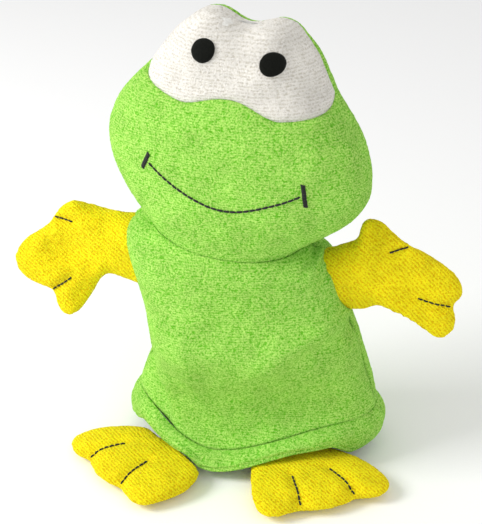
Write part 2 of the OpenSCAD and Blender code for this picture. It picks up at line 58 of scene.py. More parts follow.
neckCentre = np.array([-9.0, 0.0, 127.5])  # where the head is sewn on, in the pattern's own frame
home = jointAt["head_nod"] - neckCentre  # pattern frame to the frame on the table, mm


# numbers and curves
def mix(a, b, t):
    return a + (b - a) * t


def smooth(t):
    t = np.clip(t, 0, 1)
    return t * t * (3 - 2 * t)


def bell(d):
    return np.exp(-np.square(d))


def signedPow(v, p):
    return np.sign(v) * np.abs(v) ** p


def unit(v):
    return v / np.maximum(np.linalg.norm(v, axis=-1, keepdims=True), 1e-9)


def through(rows, t):
    # smooth curve through the rows of a table, at row numbers t
    rows, t = np.array(rows, float), np.asarray(t, float)
    last = len(rows) - 1
    i = np.clip(np.floor(t).astype(int), 0, last - 1)
    f = (t - i)[..., None]
    a, b, c, d = rows[np.maximum(i - 1, 0)], rows[i], rows[i + 1], rows[np.minimum(i + 2, last)]
    return b + 0.5 * f * (c - a + f * (2 * a - 5 * b + 4 * c - d + f * (3 * (b - c) + d - a)))


def turn(p, axis, degrees):
    c, s = math.cos(math.radians(degrees)), math.sin(math.radians(degrees))
    x, y, z = p[..., 0], p[..., 1], p[..., 2]
    made = {"X": (x, y * c - z * s, y * s + z * c), "Y": (x * c + z * s, y, z * c - x * s),
            "Z": (x * c - y * s, x * s + y * c, z)}[axis]
    return np.stack(made, -1)


def nearLine(x, z, start, end):
    # distance to a line from start to end, and how far along it, both in mm
    start, end = np.array(start, float), np.array(end, float)
    along = end - start
    length = np.linalg.norm(along)
    t = ((x - start[0]) * along[0] + (z - start[1]) * along[1]) / length**2
    c = np.clip(t, 0, 1)
    return np.hypot(x - start[0] - c * along[0], z - start[1] - c * along[1]), c


# materials
def srgb(code, alpha=1.0):
    parts = [int(code[i:i + 2], 16) / 255 for i in (1, 3, 5)]
    return (*[c / 12.92 if c <= 0.04045 else ((c + 0.055) / 1.055) ** 2.4 for c in parts], alpha)


def addNode(tree, kind, inputs=None, **settings):
    made = tree.nodes.new(kind)
    for name, value in settings.items():
        setattr(made, name, value)
    for name, value in (inputs or {}).items():
        socket = made.inputs[name]
        if isinstance(value, bpy.types.NodeSocket):
            tree.links.new(value, socket)
        else:
            socket.default_value = value
    return made


def newMaterial(name):
    made = bpy.data.materials.new(name)
    made.use_nodes = True
    made.node_tree.nodes.clear()
    return made, made.node_tree


def terryCloth(name, sizes):
    # looped cotton terry: matt, with a soft fuzzy rim; painted shade and light follow the pile's height, lighter at
    # the loop tips and darker in the gaps between loops
    made, tree = newMaterial(name)
    where = addNode(tree, "ShaderNodeTexCoord").outputs["Object"]
    loops = addNode(tree, "ShaderNodeTexNoise", {"Vector": where, "Scale": 1000 / sizes["loop"], "Detail": 3.0,
                                                 "Roughness": 0.6, "Distortion": 0.4}).outputs["Fac"]
    tufts = addNode(tree, "ShaderNodeTexVoronoi", {"Vector": where, "Scale": 1000 / sizes["tuft"], "Randomness": 1.0},
                    feature="SMOOTH_F1").outputs["Distance"]
    patches = addNode(tree, "ShaderNodeTexNoise", {"Vector": where, "Scale": 1000 / sizes["patch"],
                                                   "Detail": 2.0}).outputs["Fac"]
    rows = addNode(tree, "ShaderNodeTexWave", {"Vector": where, "Scale": 2 * math.pi / 20 * 1000 / sizes["row"],
                                               "Distortion": 3.0, "Detail": 2.0, "Detail Scale": 1.5},
                   bands_direction=sizes["rowWay"]).outputs["Fac"]
    upper = addNode(tree, "ShaderNodeMath", {0: tufts, 1: -0.45, 2: loops}, operation="MULTIPLY_ADD").outputs[0]
    height = addNode(tree, "ShaderNodeMath", {0: rows, 1: sizes["rowShare"], 2: upper},
                     operation="MULTIPLY_ADD").outputs[0]
    # painted shade: the pile's height picks the colour, from the gap colour in the hollows between loops to the tip
    # colour on top
    shade = addNode(tree, "ShaderNodeMapRange", {"Value": height, "From Min": sizes["low"],
                                                 "From Max": sizes["high"]}).outputs[0]
    cloth = addNode(tree, "ShaderNodeMix", {"Factor": shade, "A": srgb(sizes["gap"]), "B": srgb(sizes["tip"])},
                    data_type="RGBA")
    spread = addNode(tree, "ShaderNodeMapRange", {"Value": patches, "From Min": 0.3, "From Max": 0.7, "To Min": 0.9,
                                                  "To Max": 1.08}).outputs[0]
    coloured = addNode(tree, "ShaderNodeHueSaturation",
                       {"Value": spread, "Color": cloth.outputs["Result"]}).outputs["Color"]
    bump = addNode(tree, "ShaderNodeBump", {"Height": height, "Strength": 1.0,
                                            "Distance": sizes["bump"] / 1000}).outputs["Normal"]
    skin = addNode(tree, "ShaderNodeBsdfPrincipled", {
        "Base Color": coloured, "Normal": bump, "Roughness": 0.95, "IOR": 1.45, "Specular IOR Level": 0.15,
        "Sheen Weight": sizes["sheen"], "Sheen Roughness": 0.5, "Sheen Tint": srgb(sizes["fuzz"])})
    addNode(tree, "ShaderNodeOutputMaterial", {"Surface": skin.outputs["BSDF"]})
    made.diffuse_color = srgb(sizes["tip"])
    return made


def thread(name, sizes):
    # twisted cotton thread: slightly shiny strands wound round each other
    made, tree = newMaterial(name)
    where = addNode(tree, "ShaderNodeTexCoord").outputs["Object"]
    twist = addNode(tree, "ShaderNodeTexWave", {"Vector": where, "Scale": 2 * math.pi / 20 * 1000 / sizes["twist"],
                                                "Distortion": 2.0}, bands_direction="DIAGONAL").outputs["Fac"]
    shade = addNode(tree, "ShaderNodeMix", {"Factor": twist, "A": srgb(sizes["dark"]), "B": srgb(sizes["light"])},
                    data_type="RGBA")
    bump = addNode(tree, "ShaderNodeBump", {"Height": twist, "Strength": 0.6, "Distance": 0.0001}).outputs["Normal"]
    skin = addNode(tree, "ShaderNodeBsdfPrincipled", {"Base Color": shade.outputs["Result"], "Normal": bump,
        "Roughness": 0.7, "IOR": 1.5, "Specular IOR Level": 0.35, "Sheen Weight": 0.15})
    addNode(tree, "ShaderNodeOutputMaterial", {"Surface": skin.outputs["BSDF"]})
    made.diffuse_color = srgb(sizes["light"])
    return made


def feltCloth(name, sizes):
    # pressed wool felt: flat, matt and covered in short stray fibres
    made, tree = newMaterial(name)
    where = addNode(tree, "ShaderNodeTexCoord").outputs["Object"]
    fibres = addNode(tree, "ShaderNodeTexNoise", {"Vector": where, "Scale": 1000 / sizes["fibre"], "Detail": 6.0,
                                                  "Roughness": 0.75, "Distortion": 1.5}).outputs["Fac"]
    shade = addNode(tree, "ShaderNodeMapRange", {"Value": fibres, "From Min": 0.35, "From Max": 0.75}).outputs[0]
    mixed = addNode(tree, "ShaderNodeMix", {"Factor": shade, "A": srgb(sizes["dark"]), "B": srgb(sizes["light"])},
                    data_type="RGBA")
    bump = addNode(tree, "ShaderNodeBump", {"Height": fibres, "Strength": 0.9, "Distance": 0.0004}).outputs["Normal"]
    skin = addNode(tree, "ShaderNodeBsdfPrincipled", {"Base Color": mixed.outputs["Result"], "Normal": bump,
        "Roughness": 0.95, "IOR": 1.45, "Specular IOR Level": 0.1, "Sheen Weight": 0.25,
        "Sheen Tint": srgb("#8a8a88")})
    addNode(tree, "ShaderNodeOutputMaterial", {"Surface": skin.outputs["BSDF"]})
    made.diffuse_color = srgb(sizes["light"])
    return made


def wovenCotton(name, sizes):
    # plain woven lining: fine crossed threads, flat and matt
    made, tree = newMaterial(name)
    where = addNode(tree, "ShaderNodeTexCoord").outputs["Object"]
    scale = 2 * math.pi / 20 * 1000 / sizes["pitch"]
    warp = addNode(tree, "ShaderNodeTexWave", {"Vector": where, "Scale": scale, "Distortion": 0.6},
                   bands_direction="X").outputs["Fac"]
    weft = addNode(tree, "ShaderNodeTexWave", {"Vector": where, "Scale": scale, "Distortion": 0.6},
                   bands_direction="Z").outputs["Fac"]
    weave = addNode(tree, "ShaderNodeMath", {0: warp, 1: weft}, operation="MULTIPLY").outputs[0]
    shade = addNode(tree, "ShaderNodeMix", {"Factor": weave, "A": srgb(sizes["dark"]), "B": srgb(sizes["light"])},
                    data_type="RGBA")
    bump = addNode(tree, "ShaderNodeBump", {"Height": weave, "Strength": 0.5, "Distance": 0.0002}).outputs["Normal"]
    skin = addNode(tree, "ShaderNodeBsdfPrincipled", {"Base Color": shade.outputs["Result"], "Normal": bump,
        "Roughness": 0.9, "Specular IOR Level": 0.2, "Sheen Weight": 0.1})
    addNode(tree, "ShaderNodeOutputMaterial", {"Surface": skin.outputs["BSDF"]})
    made.diffuse_color = srgb(sizes["light"])
    return made


greenTerry = terryCloth("greenCottonTerry", {  # fresh green: yellow-green loop tips, gaps a deeper green that is painted shade
    "tip": "#c2f076", "gap": "#62bc1e", "fuzz": "#e0ff90", "loop": 0.75, "tuft": 1.0, "patch": 13, "row": 1.2,
    "rowWay": "Z", "rowShare": 0.1, "low": 0.17, "high": 0.52, "bump": 1.0, "sheen": 0.1})
yellowTerry = terryCloth("yellowCottonTerry", {  # warm yellow: bright tips, gaps golden with painted shade
    "tip": "#fff01c", "gap": "#e6b800", "fuzz": "#ffee70", "loop": 0.8, "tuft": 1.1, "patch": 14, "row": 1.3,
    "rowWay": "DIAGONAL", "rowShare": 0.25, "low": 0.17, "high": 0.5, "bump": 1.0, "sheen": 0.04})
whiteTerry = terryCloth("whiteCottonTerry", {  # off-white: flat and chalky, gaps grey-beige with painted shade
    "tip": "#efebe3", "gap": "#cfc9bb", "fuzz": "#ffffff", "loop": 0.8, "tuft": 1.1, "patch": 14, "row": 1.5,
    "rowWay": "Z", "rowShare": 0.2, "low": 0.14, "high": 0.46, "bump": 0.9, "sheen": 0.12})
# sewing threads: the black one is a dull line with a faint glint, the green one all but vanishes in the cloth
blackThread = thread("blackCottonThread", {"dark": "#0b0b0b", "light": "#1f1f1f", "twist": 0.5})
greenThread = thread("greenPolyesterThread", {"dark": "#78c43c", "light": "#a8e468", "twist": 0.5})
# felt eyes: a soft deep black with hardly any shine
blackFelt = feltCloth("blackPressedFelt", {"dark": "#070806", "light": "#1d1f1a", "fibre": 0.6})
# lining: pale, smooth and finely crossed, seen only through the mouth of the glove
cottonLining = wovenCotton("whiteCottonLining", {"dark": "#cfcabf", "light": "#f0ede4", "pitch": 0.7})
# filling: loose white fluff
fibreFill = feltCloth("whiteFibreFill", {"dark": "#d8d6cf", "light": "#fbfaf6", "fibre": 2.5})
print("materials made")


# meshes
def evenGrid(points, across, along):
    # the same surface with equal steps, measured along the cloth
    def level(p, count):
        steps = np.linalg.norm(np.diff(p, axis=1), axis=2)
        far = np.concatenate([np.zeros((len(p), 1)), np.cumsum(steps, axis=1)], axis=1)
        return np.stack([np.stack([np.interp(np.linspace(0, s[-1], count), s, r[:, k]) for k in range(3)], -1)
                         for r, s in zip(p, far)])
    return level(level(points, across + 1).transpose(1, 0, 2), along + 1).transpose(1, 0, 2)


def gridNormals(p, flip=1):
    du, dw = np.gradient(p, axis=1), np.gradient(p, axis=0)
    return flip * unit(np.cross(du, dw))


def edgeDistance(p, sides=("left", "right", "low", "high")):
    # how far each point of a grid is from the chosen edges, along the cloth
    across = np.concatenate([np.zeros((len(p), 1)), np.cumsum(np.linalg.norm(np.diff(p, axis=1), axis=2), axis=1)],
                            axis=1)
    along = np.concatenate([np.zeros((1, p.shape[1])), np.cumsum(np.linalg.norm(np.diff(p, axis=0), axis=2), axis=0)],
                           axis=0)
    every = {"left": across, "right": across[:, -1:] - across, "low": along, "high": along[-1:] - along}
    return np.min([every[s] for s in sides], axis=0)


def pressedIn(p, sides, depth, width):
    # a grid pulled in along its sewn edges
    return p - gridNormals(p) * (depth * bell(edgeDistance(p, sides) / width))[..., None]


def newPiece(name, points, faces, nap=None):
    # points are in mm in the frame on the table
    mesh = bpy.data.meshes.new(name)
    mesh.from_pydata((np.asarray(points, float) / 1000).tolist(), [], faces)
    mesh.update()
    mesh.polygons.foreach_set("use_smooth", np.ones(len(mesh.polygons), bool))
    if nap is not None:
        mesh.attributes.new("nap", "FLOAT", "POINT").data.foreach_set("value", np.asarray(nap, np.float32))
    made = bpy.data.objects.new(name, mesh)
    scene.collection.objects.link(made)
    return made


def quadsOf(m, n, first=0, flip=False):
    i, j = np.meshgrid(np.arange(n - 1), np.arange(m - 1))
    a = (j * n + i + first).ravel()
    made = np.stack([a, a + 1, a + n + 1, a + n], -1)
    return (made[:, ::-1] if flip else made).tolist()


def ringFaces(m, n, closedEnds=True):
    # faces between m rings of n points each, with or without a cap at both ends
    made = [[j * n + i, j * n + (i + 1) % n, (j + 1) * n + (i + 1) % n, (j + 1) * n + i]
            for j in range(m - 1) for i in range(n)]
    return made + ([list(range(n))[::-1], [(m - 1) * n + i for i in range(n)]] if closedEnds else [])


def mend(piece, weld=0.0, fill=False):
    # joins doubled points, closes holes and turns every face outward
    work = bmesh.new()
    work.from_mesh(piece.data)
    if weld:
        bmesh.ops.remove_doubles(work, verts=work.verts, dist=weld)
    if fill:
        bmesh.ops.holes_fill(work, edges=[e for e in work.edges if e.is_boundary])
    bmesh.ops.recalc_face_normals(work, faces=work.faces)
    work.to_mesh(piece.data)
    work.free()
    return piece


def clothPiece(name, outer, thick, nap=1.0, innerNap=0.25, flip=1):
    # cloth of a real thickness: an outer and an inner wall joined by a rim
    m, n = outer.shape[:2]
    normals = gridNormals(outer, flip)
    inner = outer - normals * thick
    rim = list(range(n)) + [j * n + n - 1 for j in range(1, m)] + [(m - 1) * n + i for i in range(n - 2, -1, -1)] + \
        [j * n for j in range(m - 2, 0, -1)]
    k, count = m * n, len(rim)
    wall = [[rim[r], rim[r] + k, rim[(r + 1) % count] + k, rim[(r + 1) % count]] for r in range(count)]
    faces = quadsOf(m, n) + quadsOf(m, n, k, True) + wall
    if flip < 0:
        faces = [f[::-1] for f in faces]
    edge = smooth(edgeDistance(outer) / 1.2).ravel()
    return newPiece(name, np.concatenate([outer.reshape(-1, 3), inner.reshape(-1, 3)]) + home, faces,
                    np.concatenate([edge * nap, edge * innerNap]))


def plain(piece):
    # turns what the modifiers make into the piece's own mesh
    bpy.context.view_layer.update()
    made = bpy.data.meshes.new_from_object(piece.evaluated_get(bpy.context.evaluated_depsgraph_get()))
    piece.modifiers.clear()
    piece.data = made
    return piece


def inputsOf(tree, **kinds):
    for name, kind in kinds.items():
        tree.interface.new_socket(name, in_out="INPUT", socket_type=kind)
    tree.interface.new_socket("Geometry", in_out="OUTPUT", socket_type="NodeSocketGeometry")
    return addNode(tree, "NodeGroupInput").outputs


def endTree(tree, geometry, material):
    real = addNode(tree, "GeometryNodeRealizeInstances", {"Geometry": geometry}).outputs[0]
    done = addNode(tree, "GeometryNodeSetMaterial", {"Geometry": real, "Material": material}).outputs[0]
    addNode(tree, "NodeGroupOutput", {"Geometry": done})


def useTree(piece, tree, values):
    # runs a tree on a piece and keeps the result as a plain mesh
    changer = piece.modifiers.new(tree.name, "NODES")
    changer.node_group = tree
    for socket in tree.interface.items_tree:
        if socket.item_type == "SOCKET" and socket.in_out == "INPUT" and socket.name in values:
            changer[socket.identifier] = values[socket.name]
    return plain(piece)


def makePileTree():
    # raises the cloth into loops and soft lumps, as terry is
    tree = bpy.data.node_groups.new("terryPile", "GeometryNodeTree")
    given = inputsOf(tree, Geometry="NodeSocketGeometry", LoopSize="NodeSocketFloat", PileHeight="NodeSocketFloat",
                     LumpSize="NodeSocketFloat", LumpHeight="NodeSocketFloat", Seed="NodeSocketFloat",
                     Material="NodeSocketMaterial")
    where = addNode(tree, "GeometryNodeInputPosition").outputs[0]
    normal = addNode(tree, "GeometryNodeInputNormal").outputs[0]
    nap = addNode(tree, "GeometryNodeInputNamedAttribute", {"Name": "nap"}, data_type="FLOAT").outputs[0]
    total = None
    for size, height, seed in (("LoopSize", "PileHeight", 0.0), ("LumpSize", "LumpHeight", 3.0)):
        scale = addNode(tree, "ShaderNodeMath", {0: 1.0, 1: given[size]}, operation="DIVIDE").outputs[0]
        w = addNode(tree, "ShaderNodeMath", {0: given["Seed"], 1: seed}, operation="ADD").outputs[0]
        noise = addNode(tree, "ShaderNodeTexNoise", {"Vector": where, "W": w, "Scale": scale, "Detail": 1.5,
            "Roughness": 0.55}, noise_dimensions="4D").outputs["Fac"]
        centred = addNode(tree, "ShaderNodeMath", {0: noise, 1: 0.5}, operation="SUBTRACT").outputs[0]
        lift = addNode(tree, "ShaderNodeMath", {0: centred, 1: given[height]}, operation="MULTIPLY").outputs[0]
        total = lift if total is None else addNode(tree, "ShaderNodeMath", {0: total, 1: lift},
                                                   operation="ADD").outputs[0]
    masked = addNode(tree, "ShaderNodeMath", {0: total, 1: nap}, operation="MULTIPLY").outputs[0]
    offset = addNode(tree, "ShaderNodeVectorMath", {0: normal, "Scale": masked}, operation="SCALE").outputs[0]
    moved = addNode(tree, "GeometryNodeSetPosition", {"Geometry": given["Geometry"], "Offset": offset}).outputs[0]
    endTree(tree, moved, given["Material"])
    return tree


def makeStitchTree():
    # lays one arched stitch on every point, along the seam and facing out of the cloth
    tree = bpy.data.node_groups.new("runningStitch", "GeometryNodeTree")
    given = inputsOf(tree, Geometry="NodeSocketGeometry", StitchLength="NodeSocketFloat",
                     ThreadRadius="NodeSocketFloat", Arch="NodeSocketFloat", Material="NodeSocketMaterial")
    half = addNode(tree, "ShaderNodeMath", {0: given["StitchLength"], 1: 0.5}, operation="MULTIPLY").outputs[0]
    back = addNode(tree, "ShaderNodeMath", {0: half, 1: -1.0}, operation="MULTIPLY").outputs[0]
    down = addNode(tree, "ShaderNodeMath", {0: given["Arch"], 1: -1.0}, operation="MULTIPLY").outputs[0]
    high = addNode(tree, "ShaderNodeMath", {0: given["Arch"], 1: 1.6}, operation="MULTIPLY").outputs[0]
    start = addNode(tree, "ShaderNodeCombineXYZ", {"X": back, "Z": down}).outputs[0]
    middle = addNode(tree, "ShaderNodeCombineXYZ", {"Z": high}).outputs[0]
    end = addNode(tree, "ShaderNodeCombineXYZ", {"X": half, "Z": down}).outputs[0]
    bow = addNode(tree, "GeometryNodeCurveQuadraticBezier", {"Resolution": 5, "Start": start, "Middle": middle,
        "End": end}).outputs[0]
    ring = addNode(tree, "GeometryNodeCurvePrimitiveCircle",
                   {"Resolution": 6, "Radius": given["ThreadRadius"]}).outputs[0]
    strand = addNode(tree, "GeometryNodeCurveToMesh", {"Curve": bow, "Profile Curve": ring,
        "Fill Caps": True}).outputs[0]
    along = addNode(tree, "GeometryNodeInputNamedAttribute", {"Name": "along"}, data_type="FLOAT_VECTOR").outputs[0]
    facing = addNode(tree, "GeometryNodeInputNamedAttribute", {"Name": "facing"}, data_type="FLOAT_VECTOR").outputs[0]
    first = addNode(tree, "FunctionNodeAlignRotationToVector", {"Vector": along}, axis="X").outputs[0]
    second = addNode(tree, "FunctionNodeAlignRotationToVector", {"Rotation": first, "Vector": facing}, axis="Z",
                     pivot_axis="X").outputs[0]
    placed = addNode(tree, "GeometryNodeInstanceOnPoints", {"Points": given["Geometry"], "Instance": strand,
        "Rotation": second}).outputs[0]
    endTree(tree, placed, given["Material"])
    return tree


pileTree, stitchTree = makePileTree(), makeStitchTree()


def raisePile(piece, material, loop=1.6, height=0.9, lump=9, lumpHeight=1.0, seed=0.0):
    useTree(piece, pileTree, {"LoopSize": loop / 1000, "PileHeight": height / 1000, "LumpSize": lump / 1000,
                              "LumpHeight": lumpHeight / 1000, "Seed": seed, "Material": material})
    return piece


def stitchAt(name, points, along, facing, sizes, material):
    # one stitch at each point; all in mm in the frame on the table
    mesh = bpy.data.meshes.new(name)
    mesh.from_pydata((np.asarray(points) / 1000).tolist(), [], [])
    for key, value in (("along", along), ("facing", facing)):
        mesh.attributes.new(key, "FLOAT_VECTOR", "POINT").data.foreach_set("vector",
            np.asarray(value, np.float32).ravel())
    made = bpy.data.objects.new(name, mesh)
    scene.collection.objects.link(made)
    useTree(made, stitchTree, {"StitchLength": sizes["length"] / 1000, "ThreadRadius": sizes["radius"] / 1000,
                               "Arch": sizes["arch"] / 1000, "Material": material})
    made.data.polygons.foreach_set("use_smooth", np.ones(len(made.data.polygons), bool))
    return made


def stepsAlong(path, pitch):
    # points at an even pitch along a path, and the path's direction there
    path = np.asarray(path, float)
    far = np.concatenate([[0], np.cumsum(np.linalg.norm(np.diff(path, axis=0), axis=1))])
    count = max(2, round(far[-1] / pitch))
    at = (np.arange(count) + 0.5) / count * far[-1]

    def place(s):
        return np.stack([np.interp(s, far, path[:, k]) for k in range(3)], -1)
    return place(at), unit(place(at + 0.4) - place(at - 0.4))


def swell(piece, sizes):
    # blows a closed form up as cloth, with no point moving further than the cap
    changer = piece.modifiers.new("voxels", "REMESH")
    changer.mode, changer.voxel_size = "VOXEL", sizes["voxel"] / 1000
    plain(piece)
    count = len(piece.data.vertices)
    before = np.zeros(count * 3, np.float32)
    piece.data.vertices.foreach_get("co", before)
    puff = piece.modifiers.new("puff", "CLOTH")
    puff.settings.quality = 5
    puff.settings.mass = 0.1
    puff.settings.tension_stiffness = puff.settings.compression_stiffness = 12
    puff.settings.bending_stiffness = 0.4
    puff.settings.use_pressure = True
    puff.settings.uniform_pressure_force = sizes["pressure"]
    puff.settings.effector_weights.gravity = 0
    puff.collision_settings.use_collision = False
    for step in range(1, sizes["frames"] + 1):
        scene.frame_set(step)
    evaluated = piece.evaluated_get(bpy.context.evaluated_depsgraph_get())
    after = np.zeros(count * 3, np.float32)
    evaluated.data.vertices.foreach_get("co", after)
    piece.modifiers.clear()
    scene.frame_set(1)
    before, after = before.reshape(-1, 3), after.reshape(-1, 3)
    move = after - before
    far = np.linalg.norm(move, axis=1, keepdims=True)
    cap = sizes["cap"] / 1000
    piece.data.vertices.foreach_set("co", (before + move * np.minimum(1, cap / np.maximum(far, 1e-9))).ravel())
    piece.data.update()
    return piece


def surfaceOf(*pieces):
    # one search tree over the finished surface of some pieces
    points, faces, first = [], [], 0
    for piece in pieces:
        count = len(piece.data.vertices)
        co = np.zeros(count * 3)
        piece.data.vertices.foreach_get("co", co)
        points.append(co.reshape(-1, 3))
        faces += [[v + first for v in f.vertices] for f in piece.data.polygons]
        first += count
    return BVHTree.FromPolygons([Vector(p) for p in np.concatenate(points)], faces)


# glove
glove = {"backSquareness": 2.5, "slope": 7.0, "cloth": 1.8, "hemTop": 4.0, "neckRow": 13.0, "armRow": 10.0,
         "armholeDepth": 12.0, "armLow": (8.6, 9.0), "armHigh": (11.4, 11.8), "hemLow": 4.0, "hemRise": 10.5,
         "hemSide": 5.5, "footClear": 11.5, "seamDepth": 0.8, "seamWidth": 1.8, "tuckIn": 0.9, "tuckDown": 1.2}
# each row: height, half width, front depth, back depth, sideways shift, dip of the front, squareness of the front
# and sideways shift of its foremost line
gloveRows = [
    [0, 63, 44, 33, 5, 0, 1.7, -10], [7, 69, 48, 36, 5, 0, 1.7, -12], [14, 70, 48.5, 37, 5.5, 0, 1.7, -13],
    [19, 69, 45, 36.5, 6, 0, 1.75, -15], [25, 66, 39.5, 35, 6, 0, 1.8, -17], [32, 64.5, 34, 34.5, 6, 0, 1.85, -20],
    [43, 61.5, 34.5, 34, 6.5, 0, 1.9, -23], [56, 57.5, 41, 33.5, 6.5, 0, 1.95, -24],
    [72, 56, 45.5, 33, 3.5, 0, 2.1, -22], [90, 56, 40, 31, -1.5, 0, 2.25, -18],
    [106, 57, 37, 29.5, -5.5, 0, 2.35, -11], [118, 55, 34, 28, -7.5, 2, 2.4, -4],
    [124.5, 48, 32, 27, -8.5, 4, 2.3, 0], [127.5, 40, 31, 26, -9, 5, 2.25, 0]]
# soft folds of the front: line from and to (sideways, height), half width, height of the fold
gloveFolds = [
    # across the belly from the left armpit
    [(60, 90), (26, 74), 5.5, 3.6], [(30, 77), (10, 60), 7, 2.6], [(58, 79), (30, 67), 6, -3.4],
    # gathers at the left shoulder and beside the neck
    [(46, 127), (41, 113), 1.8, -1.6], [(43, 125), (36, 112), 1.8, 1.4], [(40, 126), (33, 116), 1.5, -1.3],
    [(48, 119), (42, 104), 2.2, -1.6], [(22, 122.5), (40, 130), 2.4, -1.6],
    # a long fold down the right side of the belly
    [(-55, 60), (-37, 22), 5, -4.5], [(-46, 74), (-30, 24), 5, 3.0],
    # shallow ones at the left hip, the right shoulder and over the chest
    [(65, 62), (71, 36), 4, -1.2], [(-52, 124), (-30, 122), 3, -0.8],
    [(5, 108), (32, 92), 9, -1.6], [(-20, 112), (-24, 60), 8, 1.6]]


def hemEdge(x, side):
    # height of the hem's lower edge: lowest at the middle of the front, up over the feet, on the table at the back
    fall = smooth((np.abs(x - 5) - np.where(x > 0, 45, 55)) / 12)  # drops to the table past the feet
    if side > 0:
        return glove["hemSide"] * smooth((np.abs(x - 5) - 35) / 28)
    rise = glove["hemLow"] + glove["hemRise"] * smooth(np.abs(x + 9) / 45)
    return mix(np.maximum(rise, glove["footClear"] * smooth((-x - 8) / 18)), glove["hemSide"], fall)


def hemCrease(x, side):
    # height of the crease above the hem
    if side > 0:
        return 25 + 2 * smooth((np.abs(x - 5) - 30) / 30)
    return 13 + 14 * smooth(np.abs(x + 9) / np.where(x < -9, 45, 65))


def glovePoint(u, w, side):
    r, phi = through(gloveRows, w), np.pi / 2 * u
    n = r[..., 6] if side < 0 else glove["backSquareness"]
    c = np.maximum(np.cos(phi), 0)
    x = r[..., 1] * signedPow(np.sin(phi), 2 / n)
    y = side * (r[..., 2] if side < 0 else r[..., 3]) * c ** (2 / n)
    px = x + r[..., 4] + (r[..., 7] * c ** 4 if side < 0 else 0)
    band = mix(hemEdge(px, side), hemCrease(px, side), r[..., 0] / 25)
    dip = r[..., 5] * (1 if side < 0 else 0.3) * c ** 2
    above = r[..., 0] - dip + (hemCrease(px, side) - 25) * (1 - smooth((w - glove["hemTop"]) / 3.5))
    drop = x * math.tan(math.radians(glove["slope"])) * smooth((r[..., 0] - 55) / 50)
    return np.stack([px, y, np.where(w < glove["hemTop"], band, above) - drop], -1)


def armholeEdge(u, w, side):
    # how far the armhole on the side that u points to eats into a panel, as the u where the panel ends
    low, high = (np.where(u > 0, glove[key][1], glove[key][0]) for key in ("armLow", "armHigh"))
    t = (w - (low + high) / 2) / ((high - low) / 2)
    depth = glove["armholeDepth"] * np.sqrt(np.clip(1 - t * t, 0, 1))
    r = through(gloveRows, w)
    n = r[..., 6] if side < 0 else glove["backSquareness"]
    return np.arccos((depth / (r[..., 2] if side < 0 else r[..., 3])) ** (n / 2)) * 2 / np.pi


def folded(p, normals, folds):
    x, z = p[..., 0], p[..., 2]
    lift = np.zeros(x.shape)
    for start, end, width, height in folds:
        far, along = nearLine(x, z, start, end)
        lift += height * bell(far / width) * np.sin(np.pi * np.clip(mix(0.12, 0.88, along), 0, 1))
    return p + normals * lift[..., None]


def gloveCloth(side, low, high, across, along, shape, folds=(), tuck=0.0):
    u, w = np.meshgrid(np.linspace(-1, 1, 161), np.linspace(low, high, 121))
    u = u if side < 0 else -u
    outer = evenGrid(shape(u, w, side), across, along)
    normals = gridNormals(outer)
    if len(folds):
        outer = folded(outer, normals, folds)
    outer = pressedIn(outer, ("left", "right"), glove["seamDepth"], glove["seamWidth"])
    outer = pressedIn(outer, ("high",), tuck, 1.6)
    if low > 0:  # the panel's lower edge is sewn in behind the hem's
        outer[0] -= gridNormals(outer)[0] * glove["tuckIn"] + [0, 0, glove["tuckDown"]]
    outer[..., 1] = side * np.maximum(side * outer[..., 1], 0.05)
    return outer


def panelPoint(u, w, side):
    # the glove's panels end at the armholes
    return glovePoint(u * armholeEdge(u, w, side), w, side)


front = gloveCloth(-1, glove["hemTop"], glove["neckRow"], 190, 130, panelPoint, gloveFolds)
back = gloveCloth(1, glove["hemTop"], glove["neckRow"], 190, 130, panelPoint)
gloveFront = raisePile(clothPiece("gloveFront", front, glove["cloth"]), greenTerry, loop=1.5,
                       height=0.8)
gloveBack = raisePile(clothPiece("gloveBack", back, glove["cloth"]), greenTerry)


hem = {"cloth": 2.6, "bulge": 1.2, "ribPitch": 2.3, "ribHeight": 0.6, "ribFrom": 1.5, "ribTo": 9.0, "lipFrom": 7.0,
       "lipDepth": 1.6}
hemPieces = []
for side, name in ((-1, "hemBandFront"), (1, "hemBandBack")):
    band = gloveCloth(side, 0.0, glove["hemTop"], 220, 62, glovePoint, tuck=0.2)
    t = np.linspace(0, 1, band.shape[0])[:, None]
    up = edgeDistance(band, ("low",))
    ribs = hem["ribHeight"] * np.sin(2 * np.pi * up / hem["ribPitch"])
    ribs = ribs * smooth((up - hem["ribFrom"]) / 1.5) * smooth((hem["ribTo"] - up) / 3)
    lip = -hem["lipDepth"] * bell((up - hem["lipFrom"] - 2) / 2.2)
    lip = lip * smooth((30 - np.abs(band[..., 0] + 12)) / 20) * (side < 0)
    bulge = hem["bulge"] * np.sin(np.pi * t) ** 0.6 - 0.9 * bell(t / 0.04) - 0.25 * bell((1 - t) / 0.1)
    band = band + gridNormals(band) * (bulge + ribs + lip)[..., None]
    hemPieces.append(raisePile(clothPiece(name, band, hem["cloth"]), greenTerry, loop=1.3, height=0.45,
                               lumpHeight=0.5))
print("glove made")


# head
head = {"squareness": 2.25, "yaw": 7.0, "pitch": 9.0, "roll": 7.0, "sink": 2.5, "cloth": 1.8, "eyeX": 18.0,
        "eyeZ": 88.0, "eyeSpread": 15.0, "eyeBulge": 5.0, "humpX": 17.0, "humpSpread": 13.0, "humpRise": 7.0,
        "browRow": 5.95, "browLobe": 0.25, "browPeak": 0.6, "browCorner": 1.35, "browShift": 0.035, "ridgeRow": 11.0,
        "eyeShift": 1.8, "pupilX": 17.0, "pupilZ": 90.0, "pupilRadius": 5.8, "mouthShift": 4.6, "mouthHalf": 39.7,
        "mouthZ": 17.7, "mouthRise": 14.0, "seamDepth": 1.2, "seamWidth": 1.7, "tuckIn": 0.9, "tuckDown": 1.4}
